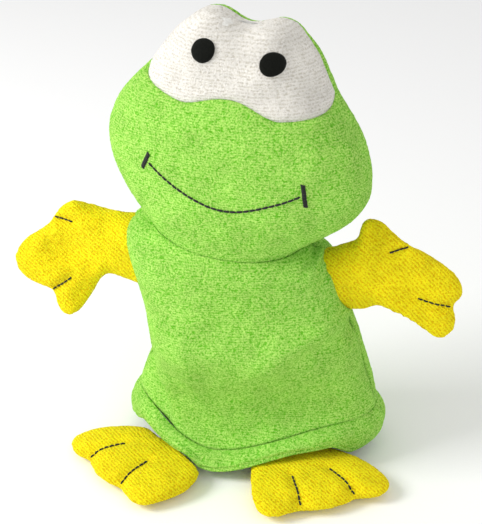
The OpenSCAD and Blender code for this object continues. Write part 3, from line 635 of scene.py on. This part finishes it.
# height, half width, front depth, back depth, dip at the middle of the front, sideways shift
headRows = [[0, 40, 31, 26, 5, 0], [5, 47.5, 32, 27, 3.5, 1], [16, 61, 35.5, 30, 1, 3.4], [27, 67.6, 37, 33, 0, 3.3],
            [41, 68.6, 38, 34, 0, 1.4], [55, 64, 37, 33.5, 0, 0], [65, 57.5, 35, 32, 0, -0.6],
            [75, 49, 32, 29.5, 0, -1.2], [87, 41.5, 28, 23.5, 0, -1.6], [95, 36, 23, 15, 0, -1.6],
            [99, 30, 16, 8, 0, -1.6], [102, 23, 1.2, 1.2, 0, -1.6]]


def headShape(u, w, side):
    r, phi = through(headRows, w), np.pi / 2 * u
    x = r[..., 1] * signedPow(np.sin(phi), 2 / head["squareness"])
    y = side * (r[..., 2] if side < 0 else r[..., 3]) * signedPow(np.maximum(np.cos(phi), 0), 2 / head["squareness"])
    z = r[..., 0] - r[..., 4] * (1 if side < 0 else 0.3) * np.cos(phi) ** 2
    lift = head["eyeBulge"] * sum(bell(np.hypot(x - s * head["eyeX"], z - head["eyeZ"]) / head["eyeSpread"])
                                  for s in (-1, 1))
    rise = head["humpRise"] * sum(bell((x - s * head["humpX"]) / head["humpSpread"]) for s in (-1, 1))
    y = y - lift * smooth((head["ridgeRow"] - w) / 2.5) * (side < 0)
    return np.stack([x + r[..., 5], y, z + rise * smooth((w - 7) / 3.5)], -1)


def headPlace(p):
    k = smooth(p[..., 2] / 24)
    c, s = np.cos(np.radians(head["yaw"] * k)), np.sin(np.radians(-head["yaw"] * k))
    shifted = p[..., 0] - k * head["sink"]
    x, y = shifted * c - p[..., 1] * s, shifted * s + p[..., 1] * c
    c, s = np.cos(np.radians(head["pitch"] * k)), np.sin(np.radians(-head["pitch"] * k))
    y, z = y * c - p[..., 2] * s, y * s + p[..., 2] * c
    leaned = turn(np.stack([x, y, z], -1), "Y", head["roll"])
    return leaned + neckCentre + np.array([0, 0, -neckCentre[0] * math.tan(math.radians(head["roll"]))])


def browRow(u):
    a, lobe = np.minimum(1, np.abs(u - head["browShift"])), head["browLobe"]
    return np.where(a < lobe, head["browRow"] + head["browPeak"] * (1 + np.cos(np.pi * a / lobe)) / 2,
                    head["browRow"] + head["browCorner"] * (np.clip(a - lobe, 0, 1) / (1 - lobe)) ** 1.15)


def headCloth(side, low, high, across, along, seams):
    u, w = np.meshgrid(np.linspace(-1, 1, 161), np.linspace(0, 1, 121))
    u = u if side < 0 else -u
    rows = mix(low(u), high(u), w)
    placed = headPlace(headShape(u, rows, side))
    sewn = glovePoint(u, np.full(u.shape, glove["neckRow"]), side)  # the glove's own edge, where the head begins
    outer = evenGrid(mix(sewn, placed, smooth(rows / 0.9)[..., None]), across, along)
    outer = pressedIn(outer, seams, head["seamDepth"], head["seamWidth"])
    if "low" not in seams:  # at the neck the edge is tucked in behind the glove's, so the seam is only a soft crease
        outer[0] += unit((neckCentre - outer[0]) * [1, 1, 0]) * head["tuckIn"] - [0, 0, head["tuckDown"]]
    return outer


face = headCloth(-1, lambda u: 0 * u, browRow, 170, 110, ("left", "right", "high"))
eyes = headCloth(-1, browRow, lambda u: 0 * u + head["ridgeRow"], 150, 56, ("left", "right", "low", "high"))
nape = headCloth(1, lambda u: 0 * u, lambda u: 0 * u + head["ridgeRow"], 170, 150, ("left", "right", "high"))
faceCloth = raisePile(clothPiece("faceCloth", face, head["cloth"]), greenTerry)
eyePatch = raisePile(clothPiece("eyePatch", eyes, head["cloth"]), whiteTerry, loop=1.4, height=0.6,
                     lumpHeight=0.8)
headBack = raisePile(clothPiece("headBack", nape, head["cloth"]), greenTerry)
headSkin = surfaceOf(faceCloth, eyePatch)


def onHead(x, z, lift=0.0):
    # the point of the finished face in front of (x, z) on the upright head, and the cloth's normal there
    x, z = np.broadcast_arrays(np.asarray(x, float), np.asarray(z, float))
    near = headPlace(np.stack([x, np.full(x.shape, -70.0), z], -1)) + home
    far = headPlace(np.stack([x, np.full(x.shape, 0.0), z], -1)) + home
    spots, normals = [], []
    for a, b in zip(near.reshape(-1, 3), far.reshape(-1, 3)):
        hit, normal, _, _ = headSkin.ray_cast(Vector(a / 1000), Vector(b - a).normalized())
        spots.append(np.array(hit) * 1000)
        normals.append(np.array(normal))
    spots, normals = np.array(spots), unit(np.array(normals))
    return spots + normals * lift, normals


def smileZ(x):
    return head["mouthZ"] + head["mouthRise"] * (np.abs(x) / head["mouthHalf"]) ** 1.9


mouth = {"length": 2.5, "radius": 0.55, "arch": 0.45, "pitch": 3.3, "tackHalf": (3.8, 5.2)}
xs = np.linspace(-head["mouthHalf"] + 1, head["mouthHalf"] - 1, 90)
path, _ = onHead(xs + head["mouthShift"], smileZ(xs), 0.25)
spots, along = stepsAlong(path, mouth["pitch"])
middle = np.array([onHead(head["mouthShift"], 40)[1][0]])
facing = unit(np.repeat(middle, len(spots), 0) + (spots - spots.mean(0)) * [0.012, 0, 0])
mouthStitches = stitchAt("mouthStitches", spots, along, facing, mouth, blackThread)
tacks = []
for side, name in ((1, "mouthTackLeft"), (-1, "mouthTackRight")):
    t = np.linspace(-1, 1, 15)
    lineX = head["mouthShift"] + side * (head["mouthHalf"] + 0.8 - t * 1.4)
    line, normals = onHead(lineX, smileZ(head["mouthHalf"]) + t * mouth["tackHalf"][side > 0], 0.35)
    down = unit(np.gradient(line, axis=0))
    cross = unit(np.cross(normals, down) + down * 0.5)
    tacks.append(stitchAt(name, line, cross, normals, {"length": 2.0, "radius": 0.42, "arch": 0.35}, blackThread))

pupils = []
for side, name in ((1, "pupilLeft"), (-1, "pupilRight")):
    spokes = 48
    profile = [  # share of the radius, height above the cloth
        (0, 1.5), (0.3, 1.5), (0.6, 1.45), (0.8, 1.4), (0.92, 1.2), (0.985, 0.85), (1.0, 0.4), (0.98, -0.3)]
    centreX, centreZ = head["eyeShift"] + side * head["pupilX"], head["pupilZ"]
    middleNormal = onHead(centreX, centreZ)[1]
    points = []
    a = np.linspace(0, 2 * np.pi, spokes, endpoint=False)
    for share, lift in profile:
        r = head["pupilRadius"] * max(share, 0.02) * (1 + 0.012 * np.sin(3 * a + side) * share)
        p, _ = onHead(centreX + r * np.cos(a), centreZ + r * np.sin(a) * 0.96)
        points.append(p + middleNormal * lift)
    faces = [f[::-1] for f in ringFaces(len(profile), spokes)]
    disc = newPiece(name, np.array(points).reshape(-1, 3), faces, np.ones(len(profile) * spokes))
    raisePile(disc, blackFelt, loop=0.9, height=0.15, lump=4, lumpHeight=0.2)
    pupils.append(disc)
print("head made")


# arms and hands
arm = {
    "left": {"side": 1, "notches": [12.3, 8.0], "hollow": 3.0, "palmAt": [33, 6], "outline": [
        [12, -13.5], [19, -9.2], [27, -9], [37, -14], [45, -21], [52, -24.8], [58, -20.5], [59.8, -14],
        [58.6, -6.5], [62.3, 2.5], [58, 11.5], [48, 19.5], [37, 26], [26, 33], [18, 38], [11, 38.6],
        [7, 34], [5, 26.5]]},
    "right": {"side": -1, "notches": [14.0, 6.6], "hollow": 5.0, "palmAt": [33, -8], "outline": [
        [12, -20], [18.5, -26], [23, -34.5], [28, -41.5], [34, -44.5], [39.5, -42], [43, -34.5], [47, -31],
        [54, -28.5], [62, -23.5], [65, -16], [62, -7], [55.5, -1], [47, 6], [42.5, 11.5], [37, 18],
        [30, 21.5], [22, 18], [12, 16]]}}
hand = {"wrist": 8.5, "palm": 5.6, "curl": 3.0, "cup": 6.0, "voxel": 2.0, "pressure": 3.0, "cap": 2.2, "frames": 14,
        "channel": 2.8, "channelWidth": 2.8}
for which in ("left", "right"):
    root = glovePoint(np.array(float(arm[which]["side"])), np.array(glove["armRow"]), -1)
    arm[which]["at"] = root * [1, 0, 1]


def fanPoint(edge, u, w):
    last = len(edge) - 1
    tip = through(edge, (u + 1) / 2 * last)
    root = mix(np.array(edge[0], float), np.array(edge[last], float), ((u + 1) / 2)[..., None])
    return mix(root, tip, w[..., None])


def handDepth(u, w):
    return mix(hand["wrist"], hand["palm"], smooth(w * 1.3)) * np.maximum(0, 1 - np.abs(u) ** 3) ** (1 / 2.6) * \
        np.sqrt(np.maximum(0, 1 - np.clip(w, 0, 1) ** 5))


def handPlace(which, p):
    x = arm[which]["side"]
    curl = hand["curl"] * (np.maximum(0, p[..., 0] - 12) / 50) ** 2
    cup = hand["cup"] * (p[..., 1] / 34) ** 2 * smooth((p[..., 0] - 12) / 20) - arm[which]["hollow"] * np.exp(
        -((p[..., 0] - arm[which]["palmAt"][0]) / 14) ** 2 - ((p[..., 1] - arm[which]["palmAt"][1]) / 12) ** 2)
    return arm[which]["at"] + np.stack([x * p[..., 0], p[..., 2] - curl - cup, p[..., 1]], -1)


def armGrid(which, face):
    # one side of the arm: u runs from its lower to its upper rim,
    # v from the armhole (0) over the wrist (1) to the fingertips (2)
    sizes = arm[which]
    u, v = np.meshgrid(np.linspace(-1, 1, 61), np.linspace(-0.35, 2, 58))
    flat = fanPoint(sizes["outline"], u, np.clip(v - 1, 0, 1))
    mitt = handPlace(which, np.concatenate([flat, (face * handDepth(u, np.clip(v - 1, 0, 1)))[..., None]], -1))
    k = 1 if sizes["side"] > 0 else 0
    row = mix(glove["armLow"][k], glove["armHigh"][k], (u + 1) / 2)
    root = glovePoint(sizes["side"] * armholeEdge(sizes["side"], row, face), row, face)
    rim = fanPoint(sizes["outline"], u, 0 * u)
    wrist = handPlace(which, np.concatenate([rim, (face * handDepth(u, 0 * u))[..., None]], -1))
    sleeve = mix(root, wrist, v[..., None])
    return np.where(v[..., None] < 1, sleeve, mitt)


def closedFrom(name, frontGrid, backGrid):
    # joins two sides into one closed form
    m, n = frontGrid.shape[:2]
    points = np.concatenate([frontGrid.reshape(-1, 3), backGrid.reshape(-1, 3)]) + home
    faces = quadsOf(m, n) + quadsOf(m, n, m * n, True)
    faces += [[i + 1, i, m * n + i, m * n + i + 1] for i in range(n - 1)]
    return mend(newPiece(name, points, faces), weld=0.0001, fill=True)


def coordinates(piece):
    co = np.zeros(len(piece.data.vertices) * 3)
    piece.data.vertices.foreach_get("co", co)
    return co.reshape(-1, 3)


def normalsOf(piece):
    co = np.zeros(len(piece.data.vertices) * 3, np.float32)
    piece.data.vertex_normals.foreach_get("vector", co)
    return co.reshape(-1, 3)


def setCoordinates(piece, co):
    piece.data.vertices.foreach_set("co", np.asarray(co, np.float32).ravel())
    piece.data.update()


def napAllOver(piece):
    even = np.ones(len(piece.data.vertices), np.float32)
    piece.data.attributes.new("nap", "FLOAT", "POINT").data.foreach_set("value", even)


def landOn(skin, line, start, lift):
    # where the points of a line land on a surface, each cast from its own start beside it
    at = []
    for p in line:
        hit = skin.ray_cast(Vector((p + start) / 1000), -Vector(start).normalized())[0]
        if hit and hit.z > 0.003:  # not on the table's side of a foot
            at.append(np.array(hit) * 1000 + lift)
    return at


def finer(piece, levels=1):
    changer = piece.modifiers.new("finer", "SUBSURF")
    changer.levels = changer.render_levels = levels
    return plain(piece)


def pressChannels(piece, lines, depth, width):
    # presses sewn lines into both faces of a padded form; lines are lists of points in mm on the table
    co, normals = coordinates(piece) * 1000, normalsOf(piece)
    push = np.zeros(len(co))
    for line in lines:
        line = np.asarray(line)
        for a, b in zip(line[:-1], line[1:]):
            t = np.clip(((co - a) @ (b - a)) / max(((b - a) ** 2).sum(), 1e-9), 0, 1)
            push = np.maximum(push, bell(np.linalg.norm(co - a - t[:, None] * (b - a), axis=1) / width))
    setCoordinates(piece, (co - normals * (push * depth)[:, None]) / 1000)


def cutOff(piece, at, way):
    # keeps what lies on the far side of a plane, in mm
    work = bmesh.new()
    work.from_mesh(piece.data)
    bmesh.ops.bisect_plane(work, geom=work.verts[:] + work.edges[:] + work.faces[:], plane_co=Vector(at) / 1000,
                           plane_no=Vector(way), clear_inner=True, dist=0.00002)
    work.to_mesh(piece.data)
    work.free()
    return piece


def copyPiece(piece, name):
    made = bpy.data.objects.new(name, piece.data.copy())
    scene.collection.objects.link(made)
    return made


armPieces = {}
for which in ("left", "right"):
    sizes = arm[which]
    x = sizes["side"]
    frontGrid, backGrid = armGrid(which, -1), armGrid(which, 1)
    form = closedFrom(f"arm_{which}", frontGrid, backGrid)
    swell(form, hand)
    outline = np.array(sizes["outline"], float)
    lines = []
    for notch in sizes["notches"]:
        u = np.full(12, 2 * notch / (len(outline) - 1) - 1)
        w = np.linspace(0.55, 1.02, 12)
        flat = fanPoint(sizes["outline"], u, w)
        lines.append(handPlace(which, np.concatenate([flat, np.zeros((12, 1))], -1)) + home)
    front = [line + [0, -5.5, 0] for line in lines] + [line + [0, 5.5, 0] for line in lines]
    finer(form)
    pressChannels(form, front, hand["channel"], hand["channelWidth"])
    napAllOver(form)
    raisePile(form, yellowTerry, loop=1.4, height=0.7, lump=8, lumpHeight=1.0)
    wristLow, wristHigh = [handPlace(which, np.array([*outline[k], 0.0])) + home for k in (0, -1)]
    wristWay = unit(np.cross([0, 1, 0], wristHigh - wristLow)) * x
    sleeveForm = copyPiece(form, f"sleeve_{which}_cloth")
    cutOff(form, wristLow, wristWay)
    cutOff(sleeveForm, wristLow, -wristWay)
    form.name = f"hand_{which}_cloth"
    skin = surfaceOf(form)
    for notch, line, level in zip(sizes["notches"], lines, ("upper", "lower")):
        spots, along = stepsAlong(landOn(skin, line[1:-1], [0, -40, 0], [0, -0.3, 0]), 2.9)
        made = stitchAt(f"finger_stitches_{which}_{level}", spots, along, np.tile([0.0, -1.0, 0.15], (len(spots), 1)),
                        {"length": 2.1, "radius": 0.45, "arch": 0.4}, blackThread)
        armPieces[f"finger_stitch_{which}_{level}"] = made
    armPieces[f"hand_{which}"], armPieces[f"sleeve_{which}"] = form, sleeveForm
print("arms made")


# feet
foot = {
    "height": 11.0, "seamZ": 4.5, "voxel": 2.2, "pressure": 3.0, "cap": 1.8, "frames": 12, "channel": 2.6,
    "channelWidth": 3.4, "rim": 2.0, "rimWidth": 1.2, "notches": [11, 7], "outline": [
        [-8, -25], [3, -32.5], [13, -38.5], [22, -42.5], [29, -41.5], [33, -36], [34.5, -28], [35.5, -22.5],
        [38.5, -17], [41.5, -8], [42, 1], [42, 8], [44.5, 14], [45.5, 21], [43, 28], [37, 31], [27, 30],
        [15, 26], [4, 20]]}
# heel: how much wider its inner heel is; reach: its length
feet = {"left": {"side": 1, "ankle": [34, -29], "splay": 42, "heel": 0.0, "reach": 1.07},
        "right": {"side": -1, "ankle": [39, -33], "splay": 53, "heel": 7.0, "reach": 1.03}}


def footPlace(which, p):
    sizes = feet[which]
    a = math.radians(sizes["splay"])
    ahead = np.where(p[..., 0] > 0, p[..., 0] * sizes["reach"], p[..., 0])
    side = p[..., 1] - sizes["heel"] * smooth((-p[..., 1] - 12) / 16) * (1 - smooth(p[..., 0] / 24))
    x = sizes["ankle"][0] + ahead * math.sin(a) + side * math.cos(a)
    y = sizes["ankle"][1] - ahead * math.cos(a) + side * math.sin(a)
    return np.stack([sizes["side"] * x, y, p[..., 2]], -1)


def footFlat(u, w, inset=0.0):
    middle = np.array([18, -1.0])
    return middle + (fanPoint(foot["outline"], u, w) - middle) * (1 - inset / 30)


def instep(u, w):
    return foot["seamZ"] + (foot["height"] - foot["seamZ"]) * np.maximum(0, 1 - np.abs(u) ** 4) ** (1 / 2.4) * \
        np.sqrt(np.maximum(0, 1 - np.clip(w, 0, 1) ** 5))


footPieces = {}
for which in ("left", "right"):
    u, w = np.meshgrid(np.linspace(-1, 1, 91), np.linspace(0, 1, 26))
    flat = footFlat(u, w)
    crown = (instep(u, w) - foot["seamZ"]) / (foot["height"] - foot["seamZ"])
    top = footPlace(which, np.concatenate([flat, instep(u, w)[..., None]], -1))
    sole = footPlace(which, np.concatenate([flat, (foot["seamZ"] * (1 - crown ** 1.2) + 1.2)[..., None]], -1))
    edgeSame = crown < 1e-6
    sole[edgeSame] = top[edgeSame]
    form = closedFrom(f"foot_{which}_pad", top, sole)
    swell(form, foot)
    co = coordinates(form)
    co[:, 2] = np.maximum(co[:, 2], 0.0006)
    setCoordinates(form, co)
    finer(form)
    lines = []
    for notch in foot["notches"]:
        u1 = np.full(12, 2 * notch / (len(foot["outline"]) - 1) - 1)
        flat1 = footFlat(u1, np.linspace(0.48, 1.02, 12))
        lines.append(footPlace(which, np.concatenate([flat1, np.full((12, 1), 10.0)], -1)) + home)
    pressChannels(form, lines, foot["channel"], foot["channelWidth"])
    around = np.linspace(-1, 1, 120)
    rim = np.concatenate([footFlat(around, np.ones(120)), np.full((120, 1), foot["seamZ"])], -1)
    rim = footPlace(which, rim) + home
    pressChannels(form, [rim], foot["rim"], foot["rimWidth"])
    napAllOver(form)
    raisePile(form, yellowTerry, loop=1.4, height=0.6, lump=8, lumpHeight=0.8, seed=2.0)
    co = coordinates(form)
    co[:, 2] = np.maximum(co[:, 2], 0.0002)
    setCoordinates(form, co)
    skin = surfaceOf(form)
    for line, level in zip(lines, ("outer", "inner")):
        spots, along = stepsAlong(landOn(skin, line[:-1], [0, 0, 30], [0, 0, 0.3]), 2.9)
        footPieces[f"toe_stitch_{which}_{level}"] = stitchAt(
            f"toe_stitches_{which}_{level}", spots, along, np.tile([0.0, -0.2, 1.0], (len(spots), 1)),
            {"length": 2.1, "radius": 0.5, "arch": 0.4}, blackThread)
    footPieces[f"foot_{which}"] = form
print("feet made")


# inside pieces
def ringPiece(name, rings, closedEnds=True, nap=None):
    # skin through rings of points that each close on themselves
    rings = np.asarray(rings)
    m, n = rings.shape[:2]
    return mend(newPiece(name, rings.reshape(-1, 3), ringFaces(m, n, closedEnds), nap))


pocket = {"radius": 9.5, "lining": 1.0, "depth": 46.0}
low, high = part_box("finger_pocket")
pocketAt = np.array([(low.x + high.x) / 2, (low.y + high.y) / 2, low.z]) * 1000
angles = np.linspace(0, 2 * np.pi, 64, endpoint=False)
outside = pocket["radius"] + pocket["lining"]
deep = pocket["depth"]
walls = [(pocket["radius"] + 0.2, 0.6), (outside - 0.3, -0.2), (outside + 0.5, 0.4), (outside + 0.4, 2.2),
         (outside, 3.2)]  # radius and height: the turned lip, up the outside, over the top, down the inside
walls += [(outside, z) for z in np.linspace(6, deep - 4, 10)]
walls += [(outside - 1.5, deep - 0.5), (5, deep + 0.8), (0.5, deep + 1)]
walls += [(0.5, deep), (5, deep - 0.2), (pocket["radius"] - 1.2, deep - 1.5)]
walls += [(pocket["radius"], z) for z in np.linspace(deep - 5, 2, 10)]
rings = [pocketAt + np.stack([r * np.cos(angles) * (1 + 0.012 * np.sin(5 * angles + z)), r * np.sin(angles),
                              0 * angles + z], -1) for r, z in walls]
rings.append(rings[0])
pocketLining = mend(ringPiece("pocketLining", rings, closedEnds=False), weld=0.00001)
pocketLining.data.materials.append(cottonLining)

u = np.linspace(-1, 1, 61)
levels = np.linspace(2.1, 10, 22)
filling = {"gap": 3.0, "reach": 50.0}  # how far the filling stays inside the cloth, over the head's mean reach
rings = []
for w in levels:
    a = headShape(u, np.full(61, w), -1)
    b = headShape(-u[1:-1], np.full(59, w), 1)
    ring = headPlace(np.concatenate([a, b]))
    middle = ring.mean(0)
    rings.append(middle + (ring - middle) * (1 - filling["gap"] / filling["reach"]) + home)
first, last = rings[0], rings[-1]
rings = [first * 0.3 + first.mean(0) * 0.7 + [0, 0, 1.5], first * 0.8 + first.mean(0) * 0.2 + [0, 0, 0.3]] + rings + \
    [last * 0.5 + last.mean(0) * 0.5]
headFilling = ringPiece("headFilling", rings, True, np.ones(120 * (len(levels) + 3)))
raisePile(headFilling, fibreFill, loop=4, height=1.2, lump=14, lumpHeight=1.5)


def aroundGlove(a, row):
    # the point of the glove at an angle around it, over both panels
    side = -1 if math.sin(a) >= 0 else 1
    where = (a - np.pi / 2 if side < 0 else 3 * np.pi / 2 - a) / (np.pi / 2)
    return glovePoint(np.array(where), np.array(row), side)


tape = {"inset": 3.8, "radius": 0.9}
neckRings = []
for a in np.linspace(0, 2 * np.pi, 180, endpoint=False):
    p = aroundGlove(a, glove["neckRow"])
    inward = unit(np.array([neckCentre[0] - p[0], -p[1], 0.0]))
    neckRings.append([p + home + inward * (tape["inset"] + tape["radius"] * math.cos(k))
                      + np.array([0, 0, tape["radius"] * math.sin(k)])
                      for k in np.linspace(0, 2 * np.pi, 8, endpoint=False)])
neckRings.append(neckRings[0])
neckTape = ringPiece("neckTape", neckRings, closedEnds=False)
neckTape.data.materials.append(greenThread)

seamPieces = []
for which, x in (("left", 1), ("right", -1)):
    w = np.linspace(glove["hemTop"] + 0.2, glove["armLow"][x > 0] - 0.2, 60)
    edge = glovePoint(np.full(60, float(x)), w, -1) * [1, 0, 1] - [x * (glove["cloth"] + 0.6), 0, 0]
    wave = 0.5 * np.sin(np.linspace(0, 14, 60))
    strip = np.stack([edge - np.array([x * d, 0, 0]) + np.stack([0 * w, wave * d / 5, 0 * w], -1)
                      for d in np.linspace(0, 5.5, 8)], 1)
    made = clothPiece(f"sideSeam_{which}", strip + [0, 1.3, 0], 2.6, 0.5, 0.5, flip=x)
    seamPieces.append(raisePile(made, greenTerry, height=0.4, lumpHeight=0.3))

t = np.linspace(0, 2 * np.pi, 721)[:-1]
ring, out = [], []
for a in t:
    p = aroundGlove(a, glove["hemTop"] - 0.55)
    ring.append(p + home)
    out.append(unit(np.array([p[0] - 6, 2 * p[1], 0.0])))
ring, out = np.array(ring) + np.array(out) * 0.6, np.array(out)
spots, along = stepsAlong(np.concatenate([ring, ring[:1]]), 3.2)
facing = unit(np.stack([spots[:, 0] - home[0] - 6, 2 * (spots[:, 1] - home[1]), 0 * spots[:, 0]], -1))
hemStitches = stitchAt("hemStitches", spots, along, facing, {"length": 2.2, "radius": 0.22, "arch": 0.5}, greenThread)
print("inside pieces made")


# what each piece moves with
for piece, nodes in ((gloveFront, ["body_front_panel"]), (gloveBack, ["body_back_panel"])):
    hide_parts(*nodes)
    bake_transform(piece)
for piece, nodes in ((faceCloth, ["face_panel", "neck_tube"]), (headBack, ["head_back_panel"])):
    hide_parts(*nodes)
    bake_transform(piece)
for piece, body, nodes in ((hemPieces[0], "glove", ["hem_front"]), (hemPieces[1], "glove", ["hem_back"]),
                           (hemStitches, "glove", ["hem_stitching"]), (seamPieces[0], "glove", ["side_seam_left"]),
                           (seamPieces[1], "glove", ["side_seam_right"]), (neckTape, "neck", ["neck_seam"]),
                           (eyePatch, "head", ["eye_panel"]), (headFilling, "head", ["head_stuffing"]),
                           (pocketLining, "head", ["finger_pocket"]), (pupils[0], "head", ["pupil_left"]),
                           (pupils[1], "head", ["pupil_right"]), (mouthStitches, "head", ["mouth_thread"]),
                           (tacks[0], "head", ["mouth_corner_left"]), (tacks[1], "head", ["mouth_corner_right"])):
    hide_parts(*nodes)
    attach(piece, body)
for which in ("left", "right"):
    x = arm[which]["side"]
    root, wrist = jointAt[f"arm_raise_{which}"] / 1000, jointAt[f"arm_swing_{which}"] / 1000
    sleeve, mitt = armPieces[f"sleeve_{which}"], armPieces[f"hand_{which}"]
    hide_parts(f"sleeve_{which}")
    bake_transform(sleeve)
    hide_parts(f"hand_{which}_front", f"hand_{which}_back")
    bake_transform(mitt)
    for level in ("upper", "lower"):
        piece = armPieces[f"finger_stitch_{which}_{level}"]
        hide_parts(f"finger_stitch_{which}_{level}")
        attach(piece, f"hand_{which}")
    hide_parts(f"foot_{which}_top", f"foot_{which}_sole", f"foot_{which}_stuffing")
    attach(footPieces[f"foot_{which}"], f"foot_{which}")
    for level in ("outer", "inner"):
        piece = footPieces[f"toe_stitch_{which}_{level}"]
        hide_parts(f"toe_stitch_{which}_{level}")
        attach(piece, f"foot_{which}")


# floor, light and camera
stage = {"floor": 4.0, "azimuth": 11.0, "elevation": 27.0, "distance": 0.650, "lens": 85.9, "aimHeight": 0.115,
         "aimRight": 0.0031, "aimUp": 0.0080, "sky": 0.66, "exposure": 0.1}
bpy.ops.mesh.primitive_plane_add(size=stage["floor"], location=(0, 0, -0.0005))
floor = bpy.context.object
floor.name = "floor"
paper, tree = newMaterial("whitePaper")  # smooth matt paper sweep
grain = addNode(tree, "ShaderNodeTexNoise", {"Vector": addNode(tree, "ShaderNodeTexCoord").outputs["Object"],
                                             "Scale": 900.0}).outputs["Fac"]
tone = addNode(tree, "ShaderNodeMix", {"Factor": grain, "A": srgb("#fbfbfa"), "B": srgb("#ffffff")},
               data_type="RGBA").outputs["Result"]
sheet = addNode(tree, "ShaderNodeBsdfPrincipled", {"Base Color": tone, "Roughness": 0.9, "Specular IOR Level": 0.1})
addNode(tree, "ShaderNodeOutputMaterial", {"Surface": sheet.outputs["BSDF"]})
floor.data.materials.append(paper)

world = bpy.data.worlds.new("studio")
world.use_nodes = True
world.node_tree.nodes["Background"].inputs["Color"].default_value = (1, 1, 1, 1)
world.node_tree.nodes["Background"].inputs["Strength"].default_value = stage["sky"]
scene.world = world


def softBox(name, place, aim, size, power):
    lamp = bpy.data.lights.new(name, "AREA")
    lamp.shape, lamp.size, lamp.energy = "SQUARE", size, power
    made = bpy.data.objects.new(name, lamp)
    made.location = place
    made.rotation_euler = (Vector(aim) - Vector(place)).to_track_quat("-Z", "Y").to_euler()
    scene.collection.objects.link(made)


softBox("keyLight", (-0.95, -0.4, 0.8), (0, 0, 0.12), 0.5, 10.5)
softBox("fillLight", (0.8, -1.0, 0.7), (0, 0, 0.1), 0.9, 2.0)
scene.view_settings.view_transform = "Standard"
scene.view_settings.exposure = stage["exposure"]

a, e = math.radians(stage["azimuth"]), math.radians(stage["elevation"])
backward = Vector((math.sin(a) * math.cos(e), -math.cos(a) * math.cos(e), math.sin(e)))
rightward = Vector((math.cos(a), math.sin(a), 0))
upward = backward.cross(rightward)
target = Vector((home[0] / 1000, home[1] / 1000, stage["aimHeight"]))
lens = bpy.data.cameras.new("camera")
lens.lens, lens.sensor_width = stage["lens"], 36
camera = bpy.data.objects.new("camera", lens)
camera.location = target + backward * stage["distance"]
aim = target - rightward * stage["aimRight"] - upward * stage["aimUp"]
camera.rotation_euler = (aim - camera.location).to_track_quat("-Z", "Y").to_euler()
scene.collection.objects.link(camera)
scene.camera = camera
print("stage made")
